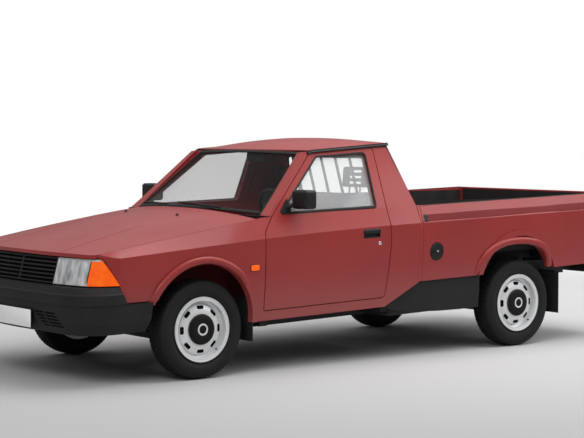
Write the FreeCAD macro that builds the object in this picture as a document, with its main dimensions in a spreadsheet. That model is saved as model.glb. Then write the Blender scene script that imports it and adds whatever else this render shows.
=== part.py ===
import FreeCAD, Part
import math
import os
import Sketcher

# Pickup truck with a single cab and an open load bed, at its real size.
# Millimetres. The truck faces -Y, its left side is +X, and Z = 0 is the ground.
# Body panels are described by a station u, counted rearward from the front axle,
# and a height over the ground at that axle. The whole body leans nose-down by the rake.

Vec = FreeCAD.Vector
doc = FreeCAD.newDocument("PickupTruck")
sheet = doc.addObject("Spreadsheet::Sheet", "Sizes")

# Primary sizes are numbers. Sizes that follow others are formulas of them.
SIZES = {
    # stance
    "wheelbase": 2648,
    "front_overhang": 866,
    "rear_overhang": 992,
    "body_width": 1690,
    "track_front": "=body_width - 254",
    "track_rear": "=body_width - 262",
    "body_rake": 0.027,
    "hub_datum": 288,
    "fit_gap": 0.3,
    "panel_gap": 6,
    "flange_overlap": 15,
    # wheels
    "tyre_radius": 300,
    "tyre_width": 165,
    "rim_radius": 178,
    "tyre_bulge_radius": "=(tyre_radius + rim_radius) / 2 - 3",
    "rim_flange": "=rim_radius + 17",
    "rim_half_width": "=tyre_width / 2 - 9.5",
    "rim_gauge": 5,
    "disc_face": "=rim_half_width - 13",
    "slot_count": 8,
    "slot_circle": "=rim_radius - 45",
    "slot_width": 20,
    "slot_span": 34,
    "cap_radius": "=rim_radius - 86",
    "cap_height": 18,
    "stub_radius": 30,
    "kingpin_inset": 40,
    "ball_pin_radius": 12,
    "knuckle_width": 44,
    "knuckle_depth": 70,
    "knuckle_height": 190,
    "knuckle_flange_radius": 62,
    "arm_gauge": 28,
    # body section
    "shoulder_height": 940,
    "shoulder_drop": 159,
    "shoulder_drop_start": 600,
    "shoulder_drop_length": 1287,
    "shoulder_inset": 57,
    "rail_inset": 45,
    "crease_height": "=shoulder_height - 114",
    "crease_drop": 74,
    "crease_drop_start": 1420,
    "crease_drop_length": 2070,
    "sill_height": 299,
    "sill_tuck": 45,
    "nose_taper": 45,
    "nose_taper_start": 100,
    "nose_taper_length": 800,
    "tail_taper": 20,
    "tail_taper_start": "=wheelbase + 352",
    "tail_taper_length": 580,
    # cab
    "cab_front": 400,
    "cab_rear": 1700,
    "cab_step": "=cab_rear - 280",
    "cab_inner_half": "=body_width / 2 - 130",
    "firewall_station": "=cab_front + 40",
    "firewall_gauge": 20,
    "drip_half": "=body_width / 2 - 225",
    "drip_height": "=shoulder_height + 388",
    "drip_station": 1276,
    "drip_slope": 0.041,
    "greenhouse_depth": 45,
    "roof_crown": 60,
    "roof_gauge": 26,
    "rear_lean": 114,
    "rear_window_half": "=drip_half - 80",
    "rear_window_height": 270,
    "floor_height": "=sill_height + 11",
    "floor_gauge": 25,
    "tunnel_height": 150,
    "tunnel_half": 130,
    # doors
    "door_front": "=cab_front + 43",
    "door_rear": "=cab_rear - 264",
    "door_bottom": "=sill_height + 65",
    "door_inner_half": "=body_width / 2 - 103",
    "door_skin": 12,
    "door_hinge_width": 24,
    "door_hinge_height": 60,
    "handle_station": "=door_rear - 223",
    "handle_length": 135,
    "handle_height": "=crease_height - 66",
    "handle_rise": 50,
    "mirror_station": "=door_front + 227",
    "mirror_depth": 95,
    "mirror_width": 150,
    "mirror_rise": 118,
    # glass
    "glass_gauge": 5,
    "screen_base_half": "=body_width / 2 - 145",
    "screen_base_station": "=cab_front + 115",
    "screen_base_height": "=shoulder_height + 6",
    "screen_top_half": "=drip_half - 60",
    "screen_top_station": "=screen_base_station + 410",
    "screen_top_height": "=drip_height - 22",
    "screen_bow": 105,
    "screen_top_bow": 55,
    "screen_rise": 0.25,
    "cowl_height": "=screen_base_height - 41",
    "cowl_gauge": 36,
    "wiper_rod": 5,
    "wiper_pivot": "=screen_base_half - 330",
    "wiper_reach": 490,
    "wiper_spacing": 570,
    # front end
    "fender_gauge": 38,
    "fender_top_width": 12,
    "hood_gauge": 22,
    "hood_crown": 60,
    "hood_nose_crown": 14,
    "hood_rear": "=cab_front + 30",
    "hood_rear_bow": 80,
    "hood_hinge_half": "=body_width / 2 - 245",
    "hood_hinge_width": 18,
    "hood_barrel_radius": 8,
    "nose_station": "=61 - front_overhang",
    "nose_top_setback": 40,
    "lamp_top": "=shoulder_height - 188",
    "lamp_bottom": "=lamp_top - 152",
    "lamp_depth": 70,
    "lamp_inner": "=body_width / 2 - 448",
    "lamp_outer": "=body_width / 2 - 103",
    "grille_slats": 6,
    "grille_depth": 34,
    "arch_radius": "=tyre_radius + 65",
    "front_arch_station": -12,
    "rear_arch_offset": -32,
    "arch_rise": 32,
    "arch_lip": 12,
    "arch_lip_width": 36,
    "apron_half": "=frame_half + 40",
    "apron_gauge": 8,
    "bumper_bottom": "=bumper_top - 276",
    "bumper_top": "=lamp_bottom - 8",
    "bumper_gauge": 55,
    # load bed
    "bed_front": "=cab_rear + 30",
    "bed_rear": "=wheelbase + rear_overhang - 55",
    "bed_floor": "=floor_height + 210",
    "bed_floor_gauge": 20,
    "bed_bottom": "=bed_floor - 78",
    "bed_inner_half": "=body_width / 2 - 103",
    "bed_rail_height": "=shoulder_height - 5",
    "bed_rib_rise": 8,
    "bed_rib_pitch": 118,
    "bed_rib_width": 62,
    "headboard_gauge": 40,
    "wheel_box_half": "=body_width / 2 - 285",
    "wheel_box_rise": 190,
    "wheel_box_gauge": 6,
    "tailgate_gauge": 45,
    "tailgate_pin_radius": 9,
    "fuel_cap_station": "=bed_front + 113",
    "fuel_cap_height": "=crease_height - 195",
    "fuel_cap_radius": 58.5,
    "guard_half": "=rear_window_half - 70",
    "guard_post_radius": 11,
    "guard_bar_radius": 7,
    "guard_rail_radius": 13,
    # chassis
    "frame_half": 400,
    "frame_rail_width": 60,
    "frame_rail_height": 100,
    "frame_bottom": "=floor_height - 105",
    "frame_kick": "=bed_floor - bed_floor_gauge - frame_bottom - frame_rail_height - 40",
    "frame_nose_rise": 130,
    "frame_end": "=wheelbase + 852",
    "axle_radius": 34,
    "diff_radius": 110,
    "diff_width": 150,
    "diff_chamfer": 35,
    "drum_radius": 115,
    "shaft_radius": 25,
    "spring_half": 500,
    "spring_width": 60,
    "spring_reach": 620,
    "spring_leaf": 9,
    "gearbox_end": "=firewall_station + 600",
    "pipe_radius": 20,
    "silencer_radius": 54,
    "exhaust_half": 230,
    "bumper_bar_height": 120,
    "tow_hole_radius": 8.5,
    "tow_hole_half_spacing": 60,
    # cabin
    "seat_front": "=cab_rear - 740",
    "seat_centre": "=body_width / 2 - 480",
    "seat_half": 230,
    "wheel_ring_radius": 185,
    "wheel_ring_gauge": 13,
    "column_radius": 20,
    "column_length": 280,
    "column_angle": 64,
}

for row, name in enumerate(SIZES, 1):
    sheet.set("A%d" % row, name)
    sheet.setAlias("B%d" % row, name)
for row, value in enumerate(SIZES.values(), 1):
    sheet.set("B%d" % row, str(value))
doc.recompute()


def size(name):
    return float(sheet.get(name))


FRONT_AXLE_Y = "((Sizes.front_overhang - Sizes.wheelbase - Sizes.rear_overhang) / 2)"
REAR_AXLE_Y = "(" + FRONT_AXLE_Y + " + Sizes.wheelbase)"
front_axle_y = (size("front_overhang") - size("wheelbase") - size("rear_overhang")) / 2
body_lift = size("tyre_radius") - size("hub_datum")
rake = size("body_rake")
half_body = size("body_width") / 2
gap = size("panel_gap")
fit = size("fit_gap")


# Places in the truck's frame

def spot(x, u, height):
    return Vec(x, u + front_axle_y, height + rake * u + body_lift)


def side_point(point):
    return spot(0, point[0], point[1])


# Shape helpers

def rounded_wire(points, radii):
    """A closed wire through flat corner points, each corner rounded by its radius."""
    edges = []
    count = len(points)
    starts = []
    ends = []
    arcs = []
    for index in range(count):
        corner = points[index]
        before = points[index - 1] - corner
        after = points[(index + 1) % count] - corner
        radius = radii[index]
        if radius <= 0:
            starts.append(corner)
            ends.append(corner)
            arcs.append(None)
            continue
        turn = before.getAngle(after)
        reach = radius / math.tan(turn / 2)
        before.normalize()
        after.normalize()
        first = corner + before * reach
        last = corner + after * reach
        bisector = before + after
        bisector.normalize()
        middle = corner + bisector * (radius / math.sin(turn / 2) - radius)
        starts.append(first)
        ends.append(last)
        arcs.append(Part.Arc(first, middle, last).toShape())
    for index in range(count):
        if arcs[index]:
            edges.append(arcs[index])
        following = starts[(index + 1) % count]
        if ends[index].distanceToPoint(following) > 0.001:
            edges.append(Part.makeLine(ends[index], following))
    return Part.Wire(edges)


def side_prism(corners, radii=0, grow=0, inner=0, outer=1000):
    """The block seen from the left side as the given outline of stations and heights."""
    if not isinstance(radii, (list, tuple)):
        radii = [radii] * len(corners)
    points = [side_point(corner) for corner in corners]
    face = Part.Face(rounded_wire(points, radii))
    if grow:
        face = face.makeOffset2D(grow)
    face.translate(Vec(inner, 0, 0))
    return face.extrude(Vec(outer - inner, 0, 0))


def plan_prism(corners, low, high):
    """The upright block with the given plan outline of (x, u) corners or a ready wire."""
    wire = corners
    if isinstance(corners, list):
        wire = Part.makePolygon([Vec(x, u + front_axle_y, 0) for x, u in corners + corners[:1]])
    face = Part.Face(wire)
    face.translate(Vec(0, 0, low))
    return face.extrude(Vec(0, 0, high - low))


def box(x0, x1, u0, u1, low, high):
    """A block between two planes each way, leaning with the body."""
    return side_prism([(u0, low), (u1, low), (u1, high), (u0, high)], 0, 0, x0, x1)


def both_sides(shape):
    return Part.makeCompound([shape, mirror_x(shape)])


def mirror_x(shape):
    return shape.mirror(Vec(0, 0, 0), Vec(1, 0, 0))


def rod(start, end, radius):
    return Part.makeCylinder(radius, start.distanceToPoint(end), start, end - start)


def fused(shapes):
    return shapes[0].fuse(shapes[1:]).removeSplitter()


def keep(label, shape):
    """A sub-part whose shape is worked out from the sheet's sizes."""
    feature = doc.addObject("Part::Feature", label)
    feature.Label = label
    feature.Shape = shape
    return feature


# The body's surface, as curves of the station

def half_width(u):
    nose = max(0, size("nose_taper_start") - u) / size("nose_taper_length")
    tail = max(0, u - size("tail_taper_start")) / size("tail_taper_length")
    return half_body - size("nose_taper") * nose ** 2 - size("tail_taper") * tail ** 2


def crease_height(u):
    ahead = max(0, size("crease_drop_start") - u) / size("crease_drop_length")
    return size("crease_height") - size("crease_drop") * ahead ** 1.7


def shoulder_height(u):
    ahead = max(0, size("shoulder_drop_start") - u) / size("shoulder_drop_length")
    return size("shoulder_height") - size("shoulder_drop") * ahead ** 1.15


def shoulder_half(u):
    inset = size("shoulder_inset")
    if u > size("cab_rear"):
        inset = size("rail_inset")
    return half_width(u) - inset


def drip_height(u):
    return size("drip_height") + size("drip_slope") * (u - size("drip_station"))


def wall_section(u, depth=None, plane=None, roof=False, proud=0):
    """A closed section across the body side: an outer line and the wall's inner line.
    The outer line stands proud of the body's surface by a distance. The wall has an
    even depth from there, or else ends at the upright plane."""
    widest = half_width(u)
    crease = crease_height(u)
    sill = size("sill_height") - 20
    outer = [(widest - size("sill_tuck"), sill), (widest, (sill + crease) / 2), (widest, crease)]
    outer.append((shoulder_half(u), shoulder_height(u)))
    if roof:
        outer.append((size("drip_half"), drip_height(u)))
    outer = [(x + proud, height) for x, height in outer]
    if depth is not None:
        inner = [(x - depth, height) for x, height in outer]
    else:
        inner = [(plane, height) for x, height in outer[:4]]
        if roof:
            inner[3] = (plane, shoulder_height(u) - 12)
            inner.append((size("drip_half") - size("greenhouse_depth"), drip_height(u)))
    line = [spot(x, u, height) for x, height in outer]
    back = [spot(x, u, height) for x, height in inner]
    edges = [bezier(line[0:3])]
    for index in range(2, len(line) - 1):
        edges.append(Part.makeLine(line[index], line[index + 1]))
    edges.append(Part.makeLine(line[-1], back[-1]))
    for index in range(len(back) - 1, 2, -1):
        edges.append(Part.makeLine(back[index], back[index - 1]))
    edges.append(bezier([back[2], back[1], back[0]]))
    edges.append(Part.makeLine(back[0], line[0]))
    return Part.Wire(edges)


def bezier(poles):
    curve = Part.BezierCurve()
    curve.setPoles(poles)
    return curve.toShape()


def spline(points):
    curve = Part.BSplineCurve()
    curve.interpolate(points)
    return curve.toShape()


def wall(stations, depth=None, plane=None, roof=False, proud=0):
    return Part.makeLoft([wall_section(u, depth, plane, roof, proud) for u in stations], True, False)


def skin_layer(stations, start, end, roof=False):
    """The layer between two distances out of the body's surface, less than 0 inside it."""
    return wall(stations, depth=end - start, roof=roof, proud=end)


# Outlines seen from the side, as stations and heights

def door_outline():
    front = size("door_front")
    rear = size("door_rear")
    low = size("door_bottom")
    belt = size("shoulder_height")
    lean = rear + 24
    top_rear = (lean, drip_height(lean) - gap)
    post = size("screen_top_station") + 23
    top_front = (post, drip_height(post) - gap)
    points = [(front, low), (rear - 28, low), (rear + 8, belt - 230), (rear, belt - 115)]
    points += [(rear + 8, belt), top_rear, top_front, (front + 92, belt + 3), (front - 5, belt - 105)]
    radii = [12, 30, 0, 0, 0, 25, 20, 0, 90]
    return points, radii


def window_outline():
    front = size("door_front")
    rear = size("door_rear")
    belt = size("shoulder_height")
    points = [(front + 152, belt + 8), (rear - 72, belt + 4)]
    post = size("screen_top_station") + 61
    points += [(rear - 46, drip_height(rear) - 38), (post, drip_height(post) - 34)]
    return points, [15, 25, 30, 20]


def fender_outline():
    belt = size("shoulder_height")
    door = size("door_front") - gap
    low = size("sill_height")
    arch = size("front_arch_station")
    lamp_rear = size("nose_station") + 141
    skirt = size("bumper_top") - 98
    nose = size("nose_station") - 95
    points = [(door, low), (door - 5, belt - 105), (door + 92, belt + 8), (door + 60, belt + 60)]
    points += [(nose, belt + 60), (nose, size("lamp_top") + gap), (lamp_rear, size("lamp_top") + gap)]
    points += [(lamp_rear + 78, size("bumper_top") + gap), (lamp_rear + 124, skirt), (arch, skirt), (arch, low)]
    radii = [0, 90, 0, 0, 0, 0, 0, 0, 0, 0, 0]
    return points, radii


def cab_outline():
    belt = size("shoulder_height")
    rear = size("cab_rear")
    front = size("cab_front")
    low = size("sill_height")
    top = drip_height(rear)
    lean = size("rear_lean")
    post_foot = size("screen_base_station") - 12
    points = [(front, low), (size("cab_step"), low), (rear, size("bed_bottom") - 5), (rear - 3, belt - 10)]
    points += [(rear - lean, drip_height(rear - lean)), (rear - lean - 16, top + 40)]
    points += [(size("screen_top_station") + 35, top + 40), (post_foot, belt + 4)]
    points += [(post_foot, belt - 60), (front, belt - 60)]
    return points, 0


# Wheels. Each tyre, rim and cap is a revolved profile about the axle.

def origin_plane(body, role):
    for feature in body.Origin.OriginFeatures:
        if feature.Role == role:
            return feature
    return None


def new_sketch(body, name, role="XY_Plane"):
    sketch = body.newObject("Sketcher::SketchObject", name)
    sketch.AttachmentSupport = [(origin_plane(body, role), "")]
    sketch.MapMode = "FlatFace"
    return sketch


def bind_point(sketch, geometry, position, x_text, y_text):
    """Tie one point of a sketch to two expressions of the sheet."""
    for kind, text in (("DistanceX", x_text), ("DistanceY", y_text)):
        value = float(sketch.evalExpression(text))
        number = sketch.addConstraint(Sketcher.Constraint(kind, -1, 1, geometry, position, value))
        sketch.setExpression("Constraints[%d]" % number, text)


def draw_polygon(sketch, corners):
    """A closed outline whose corners are pairs of expressions."""
    places = [[float(sketch.evalExpression(text)) for text in corner] for corner in corners]
    first = sketch.GeometryCount
    count = len(corners)
    for index in range(count):
        start = Vec(places[index][0], places[index][1], 0)
        end = Vec(places[(index + 1) % count][0], places[(index + 1) % count][1], 0)
        sketch.addGeometry(Part.LineSegment(start, end), False)
    for index in range(count):
        joined = Sketcher.Constraint("Coincident", first + index, 2, first + (index + 1) % count, 1)
        sketch.addConstraint(joined)
    for index in range(count):
        bind_point(sketch, first + index, 1, corners[index][0], corners[index][1])


def new_body(label):
    body = doc.addObject("PartDesign::Body", label)
    body.Label = label
    return body


def place(body, x_text, y_text, z_text):
    body.setExpression("Placement.Base.x", x_text)
    body.setExpression("Placement.Base.y", y_text)
    body.setExpression("Placement.Base.z", z_text)


def revolve(body, sketch, axis="H_Axis"):
    turned = body.newObject("PartDesign::Revolution", sketch.Name + "_turned")
    turned.Profile = sketch
    turned.ReferenceAxis = (sketch, [axis])
    turned.Angle = 360
    return turned


def make_tyre(label, x_text, y_text):
    body = new_body(label)
    profile = new_sketch(body, label + "_profile")
    bore = "Sizes.rim_radius + Sizes.fit_gap"
    half = "Sizes.tyre_width / 2"
    shoulder = [("Sizes.rim_half_width - 17", bore), (half, "Sizes.tyre_bulge_radius")]
    shoulder += [(half + " - 9", "Sizes.tyre_radius - 13"), (half + " - 24", "Sizes.tyre_radius")]
    mirrored = [("-(%s)" % across, radius) for across, radius in reversed(shoulder)]
    draw_polygon(profile, shoulder + mirrored)
    revolve(body, profile)
    place(body, x_text, y_text, "Sizes.tyre_radius")
    return body


def make_rim(label, x_text, y_text):
    """Steel wheel: a barrel with two flanges and a dished disc with oblong slots."""
    body = new_body(label)
    profile = new_sketch(body, label + "_profile")
    flange = "Sizes.rim_flange"
    seat = "Sizes.rim_radius"
    well = "Sizes.rim_radius - 16"
    edge = "Sizes.rim_half_width"
    gauge = "Sizes.rim_gauge"
    face = "Sizes.disc_face"
    outline = [("-" + edge, flange), (gauge + " - " + edge, flange), (gauge + " - " + edge, seat)]
    outline += [("-32", seat), ("-22", well), ("16", well), ("28", seat)]
    outline += [(edge + " - " + gauge, seat), (edge + " - " + gauge, flange), (edge, flange)]
    outline += [(edge, seat + " - " + gauge), ("32", seat + " - " + gauge), ("24", "Sizes.slot_circle + 24")]
    outline += [(face + " - 14", "Sizes.slot_circle + 14"), (face + " - 4", "Sizes.slot_circle - 14")]
    outline += [(face, "Sizes.cap_radius + 6"), (face, "Sizes.stub_radius + Sizes.fit_gap")]
    outline += [(face + " - 6", "Sizes.stub_radius + Sizes.fit_gap"), (face + " - 6", "Sizes.cap_radius + 2")]
    outline += [(face + " - 20", "Sizes.slot_circle + 14"), ("17", well + " - " + gauge)]
    outline += [("-24", well + " - " + gauge), ("-34", seat + " - " + gauge), ("-" + edge, seat + " - " + gauge)]
    draw_polygon(profile, outline)
    revolve(body, profile)
    slot = new_sketch(body, label + "_slot", "YZ_Plane")
    middle = "Sizes.slot_circle"
    across = "Sizes.slot_width / 2"
    along = "Sizes.slot_span / 2"
    corners = [(along, middle + " - " + across + " * 0.5"), (along, middle + " + " + across + " * 0.5")]
    corners += [(along + " * 0.7", middle + " + " + across)]
    corners += [("-" + x, y) for x, y in reversed(corners)]
    corners += [("-" + along + " * 0.7", middle + " - " + across), (along + " * 0.7", middle + " - " + across)]
    draw_polygon(slot, corners)
    cut = body.newObject("PartDesign::Pocket", label + "_slot_cut")
    cut.Profile = slot
    cut.Type = "ThroughAll"
    cut.Midplane = True
    ring = body.newObject("PartDesign::PolarPattern", label + "_slots")
    ring.Originals = [cut]
    ring.Axis = (origin_plane(body, "X_Axis"), [""])
    ring.Angle = 360
    ring.setExpression("Occurrences", "Sizes.slot_count")
    body.Tip = ring
    place(body, x_text, y_text, "Sizes.tyre_radius")
    return body


def make_cap(label, x_text, y_text):
    """Domed centre cap with a raised ring round its middle."""
    body = new_body(label)
    profile = new_sketch(body, label + "_profile")
    seat = "Sizes.disc_face + Sizes.fit_gap"
    top = "Sizes.disc_face + Sizes.cap_height"
    outline = [(seat, "0"), (seat, "Sizes.cap_radius"), (seat + " + 8", "Sizes.cap_radius")]
    outline += [(top + " - 3", "Sizes.cap_radius - 12"), (top, "Sizes.cap_radius - 40"), (top, "36")]
    outline += [(top + " + 3", "34"), (top + " + 3", "27"), (top, "25"), (top, "0")]
    draw_polygon(profile, outline)
    revolve(body, profile)
    place(body, x_text, y_text, "Sizes.tyre_radius")
    return body


def mirror_image(source, label):
    image = doc.addObject("Part::Mirroring", label)
    image.Source = source
    image.Normal = Vec(1, 0, 0)
    image.Base = Vec(0, 0, 0)
    image.Label = label
    return image


# Simple shapes as Part primitives and booleans, bound to the sheet

ALONG_X = FreeCAD.Rotation(Vec(0, 1, 0), 90)
FORWARD = FreeCAD.Rotation(Vec(1, 0, 0), 90)
KINGPIN_X = "(Sizes.track_front / 2 - Sizes.kingpin_inset)"
HUB_Z = "Sizes.tyre_radius"


def primitive(kind, label, fields, base, rotation=FreeCAD.Rotation()):
    """A Part primitive whose sizes and place are expressions of the sheet."""
    item = doc.addObject("Part::" + kind, label)
    item.Label = label
    for field, text in fields.items():
        item.setExpression(field, text)
    item.Placement.Rotation = rotation
    place(item, *base)
    return item


def cylinder(label, radius_text, height_text, base, rotation=FreeCAD.Rotation()):
    return primitive("Cylinder", label, {"Radius": radius_text, "Height": height_text}, base, rotation)


def block(label, length_text, width_text, height_text, base):
    return primitive("Box", label, {"Length": length_text, "Width": width_text, "Height": height_text}, base)


def union(label, pieces):
    whole = doc.addObject("Part::MultiFuse", label)
    whole.Label = label
    whole.Shapes = pieces
    whole.Refine = True
    return whole


outputs = []


def wheel_set(end, track, axle_y):
    """One axle's two wheels: the tyres and, in one node each, the rims with their caps."""
    x_text = "Sizes.%s / 2" % track
    tyre = make_tyre("tyre_%s_left" % end, x_text, axle_y)
    rim = make_rim("rim_%s" % end, x_text, axle_y)
    cap = make_cap("cap_%s" % end, x_text, axle_y)
    wheel = doc.addObject("Part::Compound", "wheel_%s_left" % end)
    wheel.Label = "wheel_%s_left" % end
    wheel.Links = [rim, cap]
    outputs.append(tyre)
    outputs.append(wheel)
    outputs.append(mirror_image(tyre, "tyre_%s_right" % end))
    outputs.append(mirror_image(wheel, "wheel_%s_right" % end))


wheel_set("front", "track_front", FRONT_AXLE_Y)
wheel_set("rear", "track_rear", REAR_AXLE_Y)


# Cab sides, doors and their glass

def mirrored_pair(label, shape):
    outputs.append(keep(label + "_left", shape))
    outputs.append(keep(label + "_right", shape.mirror(Vec(0, 0, 0), Vec(1, 0, 0))))


def single(label, shape):
    outputs.append(keep(label, shape))


PROUD = 20
cab_start = size("cab_front")
CAB_STATIONS = (cab_start - 50, cab_start + 40, cab_start + 300, size("cab_rear") - 500, size("cab_rear") + 60)
nose = size("nose_station")
FENDER_STATIONS = (nose + 85, nose + 305, nose + 555, size("nose_taper_start"), cab_start + 30, cab_start + 220)
tail = size("tail_taper_start")
BED_STATIONS = (size("bed_front") - 8, tail - 800, tail, tail + 300, size("bed_rear") + 15)
door_points, door_radii = door_outline()
fender_points, fender_radii = fender_outline()
cab_points, cab_radii = cab_outline()
window_points, window_radii = window_outline()


def greenhouse_x(height):
    """Half width of the upright lean of the cab's upper side at a height."""
    share = (height - size("shoulder_height")) / (drip_height(1000) - size("shoulder_height"))
    return half_body - size("shoulder_inset") + share * (size("drip_half") - half_body + size("shoulder_inset"))


def pillar_x(height):
    """Half width of the windscreen's side edge at a height."""
    share = (height - size("screen_base_height")) / (size("screen_top_height") - size("screen_base_height"))
    return size("screen_base_half") + share * (size("screen_top_half") - size("screen_base_half"))


def pillar_section(height, front, rear):
    outer = greenhouse_x(height)
    inner = pillar_x(height)
    corners = [(outer, front), (outer, rear), (inner, rear), (inner, front)]
    points = [spot(x, u, height) for x, u in corners]
    return Part.makePolygon(points + points[:1])


def screen_station(height):
    """Station of the windscreen's outer face at a height, at its side edge."""
    share = (height - size("screen_base_height")) / (size("screen_top_height") - size("screen_base_height"))
    base = size("screen_base_station")
    return base + share * (size("screen_top_station") - base)


def front_pillar():
    """Windscreen pillar: from the glass edge round to the door's front edge."""
    low = size("screen_base_height") - 8
    high = size("screen_top_height") + 18
    sections = []
    for height in (low, high):
        front = screen_station(height) - 12
        sections.append(pillar_section(height, front, front + 100))
    return Part.makeLoft(sections, True, True)


def cab_side():
    side = wall(CAB_STATIONS, plane=size("cab_inner_half"), roof=True)
    side = side.common(side_prism(cab_points, cab_radii))
    side = side.fuse(front_pillar())
    points = [(300, drip_height(300)), (1800, drip_height(1800)), (1800, 1800), (300, 1800)]
    roof_line = side_prism(points)
    side = side.cut(roof_line)
    door_layer = skin_layer(CAB_STATIONS, -size("door_skin") - gap, PROUD, True)
    side = side.cut(door_layer.common(side_prism(door_points, door_radii, gap)))
    side = side.cut(side_prism(door_points, door_radii, gap - size("flange_overlap"), 300, 1000))
    fender_layer = skin_layer(FENDER_STATIONS, -size("fender_gauge") - fit, PROUD)
    fender_layer = fender_layer.common(side_prism(fender_points, fender_radii, fit))
    return side.cut(fender_layer)


def door():
    whole = wall(CAB_STATIONS, plane=size("door_inner_half"), roof=True)
    whole = whole.common(side_prism(door_points, door_radii))
    behind = wall(CAB_STATIONS, plane=500, roof=True, proud=-size("door_skin"))
    rebate = behind.cut(side_prism(door_points, door_radii, -size("flange_overlap"), 300, 1000))
    whole = whole.cut(rebate)
    whole = whole.cut(side_prism(window_points, window_radii))
    whole = whole.cut(handle_recess())
    return fused([whole, hinge_lug(), handle_bar()])


def handle_recess():
    front = size("handle_station")
    rear = front + size("handle_length")
    low = size("handle_height")
    high = low + size("handle_rise")
    points = [(front, low), (rear, low), (rear, high), (front, high)]
    return side_prism(points, 8, 0, half_body - 22, half_body + 50)


def handle_bar():
    front = size("handle_station") - 3
    rear = front + size("handle_length") + 6
    low = size("handle_height") + 28
    points = [(front, low), (rear, low), (rear, low + 16), (front, low + 16)]
    return side_prism(points, 4, 0, half_body - 12, half_body - 2)


def hinge_lug():
    """Two hinge leaves on the door's front edge, a hair off the pillar that carries them."""
    lugs = []
    front = size("door_front")
    low_x = size("door_inner_half") + gap
    high_x = low_x + size("door_hinge_width")
    opening = side_prism(door_points, door_radii, gap - size("flange_overlap") - fit, 300, 1000)
    for height in (size("door_bottom") + 86, size("crease_height") - 106):
        lug = box(low_x, high_x, front, front + 50, height, height + size("door_hinge_height"))
        lugs.append(lug.common(opening))
    return lugs[0].fuse(lugs[1])


def side_glass():
    """Flat door glass in the middle of the frame's depth."""
    belt = shoulder_height(1000)
    top = drip_height(1000)
    outer = greenhouse_x(belt) - 18
    lean = (size("drip_half") - 18 - outer) / (top - belt)
    low = belt - 30
    high = top + 30
    corners = []
    for height in (low, high):
        x = outer + lean * (height - belt)
        corners.append((x, height))
    gauge = size("glass_gauge")
    points = [spot(corners[0][0], 0, corners[0][1]), spot(corners[1][0], 0, corners[1][1])]
    points += [spot(corners[1][0] - gauge, 0, corners[1][1]), spot(corners[0][0] - gauge, 0, corners[0][1])]
    face = Part.Face(Part.makePolygon(points + points[:1]))
    slab = face.extrude(Vec(0, 2000, rake * 2000))
    return slab.common(side_prism(window_points, window_radii, -fit))


mirrored_pair("cab_side", cab_side())
mirrored_pair("door", door())
mirrored_pair("door_glass", side_glass())


# Door mirrors: a moulded housing on a triangular base at the window's front corner

def door_mirror():
    front = size("mirror_station")
    belt = size("shoulder_height")
    inner = greenhouse_x(belt + 84) + 35
    corner = spot(inner, front, belt + 33.2)
    housing = Part.makeBox(size("mirror_width"), size("mirror_depth"), size("mirror_rise"), corner)
    housing = housing.makeFillet(22, housing.Edges)
    base = side_prism([(front - 85, belt + 15), (front + 2, belt + 15), (front + 2, belt + 100)], [6, 6, 6], 0, 500, 1000)
    base = base.common(skin_layer(CAB_STATIONS, fit, 8, True))
    start = spot(greenhouse_x(belt + 50) + 3, front - 15, belt + 45)
    end = spot(inner + 20, front + 20, belt + 60)
    return fused([housing, base, rod(start, end, 14)])


mirrored_pair("mirror", door_mirror())


# Roof, rear wall, floor and glass of the cab

def roof_section(u, drop):
    edge = drip_height(u) + fit
    half = size("drip_half")
    crown = size("roof_crown") * (1 - drop)
    heights = [(half, 0), (half - 50, 0.52), (half / 2, 0.9), (0, 1)]
    line = [(x, edge + 6 + crown * rise) for x, rise in heights]
    left = [(-x, height) for x, height in reversed(line[:-1])]
    outer = [spot(x, u, height) for x, height in line + left]
    gauge = size("roof_gauge")
    under = [(x * (half - gauge - 4) / half, max(height - gauge, edge + 0.5)) for x, height in line + left]
    under[0] = (half - gauge - 4, edge)
    under[-1] = (gauge + 4 - half, edge)
    inner = [spot(x, u, height) for x, height in under]
    corner_left = spot(half, u, edge)
    corner_right = spot(-half, u, edge)
    edges = [spline(outer), Part.makeLine(outer[-1], corner_right), Part.makeLine(corner_right, inner[-1])]
    edges += [spline(list(reversed(inner))), Part.makeLine(inner[0], corner_left)]
    edges.append(Part.makeLine(corner_left, outer[0]))
    return Part.Wire(edges)


def roof_panel():
    start = size("screen_top_station")
    end = size("cab_rear")
    drops = [(start - 75, 0.95), (start - 15, 0.72), (start + 75, 0.38), (start + 195, 0.12), (start + 355, 0)]
    drops += [(end - 250, 0.02), (end - 140, 0.22), (end - 60, 0.6)]
    roof = Part.makeLoft([roof_section(u, drop) for u, drop in drops], True, False)
    bow = size("screen_top_bow")
    side = size("drip_half") + 40
    seal = 10
    front = size("screen_top_station") + seal + bow * ((side / size("screen_top_half")) ** 2 - 1)
    bow += front - size("screen_top_station") - seal
    rear = size("cab_rear") - size("rear_lean") + 2
    arc = Part.Arc(Vec(side, front + front_axle_y, 0), Vec(0, front - bow + front_axle_y, 0),
                   Vec(-side, front + front_axle_y, 0)).toShape()
    back_left = Vec(-side, rear + front_axle_y, 0)
    back_right = Vec(side, rear + front_axle_y, 0)
    edges = [arc, Part.makeLine(Vec(-side, front + front_axle_y, 0), back_left)]
    edges += [Part.makeLine(back_left, back_right), Part.makeLine(back_right, Vec(side, front + front_axle_y, 0))]
    plan = plan_prism(Part.Wire(edges), 1000, 1700)
    return roof.common(plan)


def rear_wall_outline():
    rear = size("cab_rear")
    belt = size("shoulder_height")
    top = rear - size("rear_lean")
    low = size("floor_height")
    points = [(rear, size("bed_bottom") - 5), (rear - 3, belt - 10), (top, drip_height(top) - 2)]
    points += [(top - 36, drip_height(top) - 2), (rear - 38, belt - 14), (rear - 60, low)]
    return points


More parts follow.
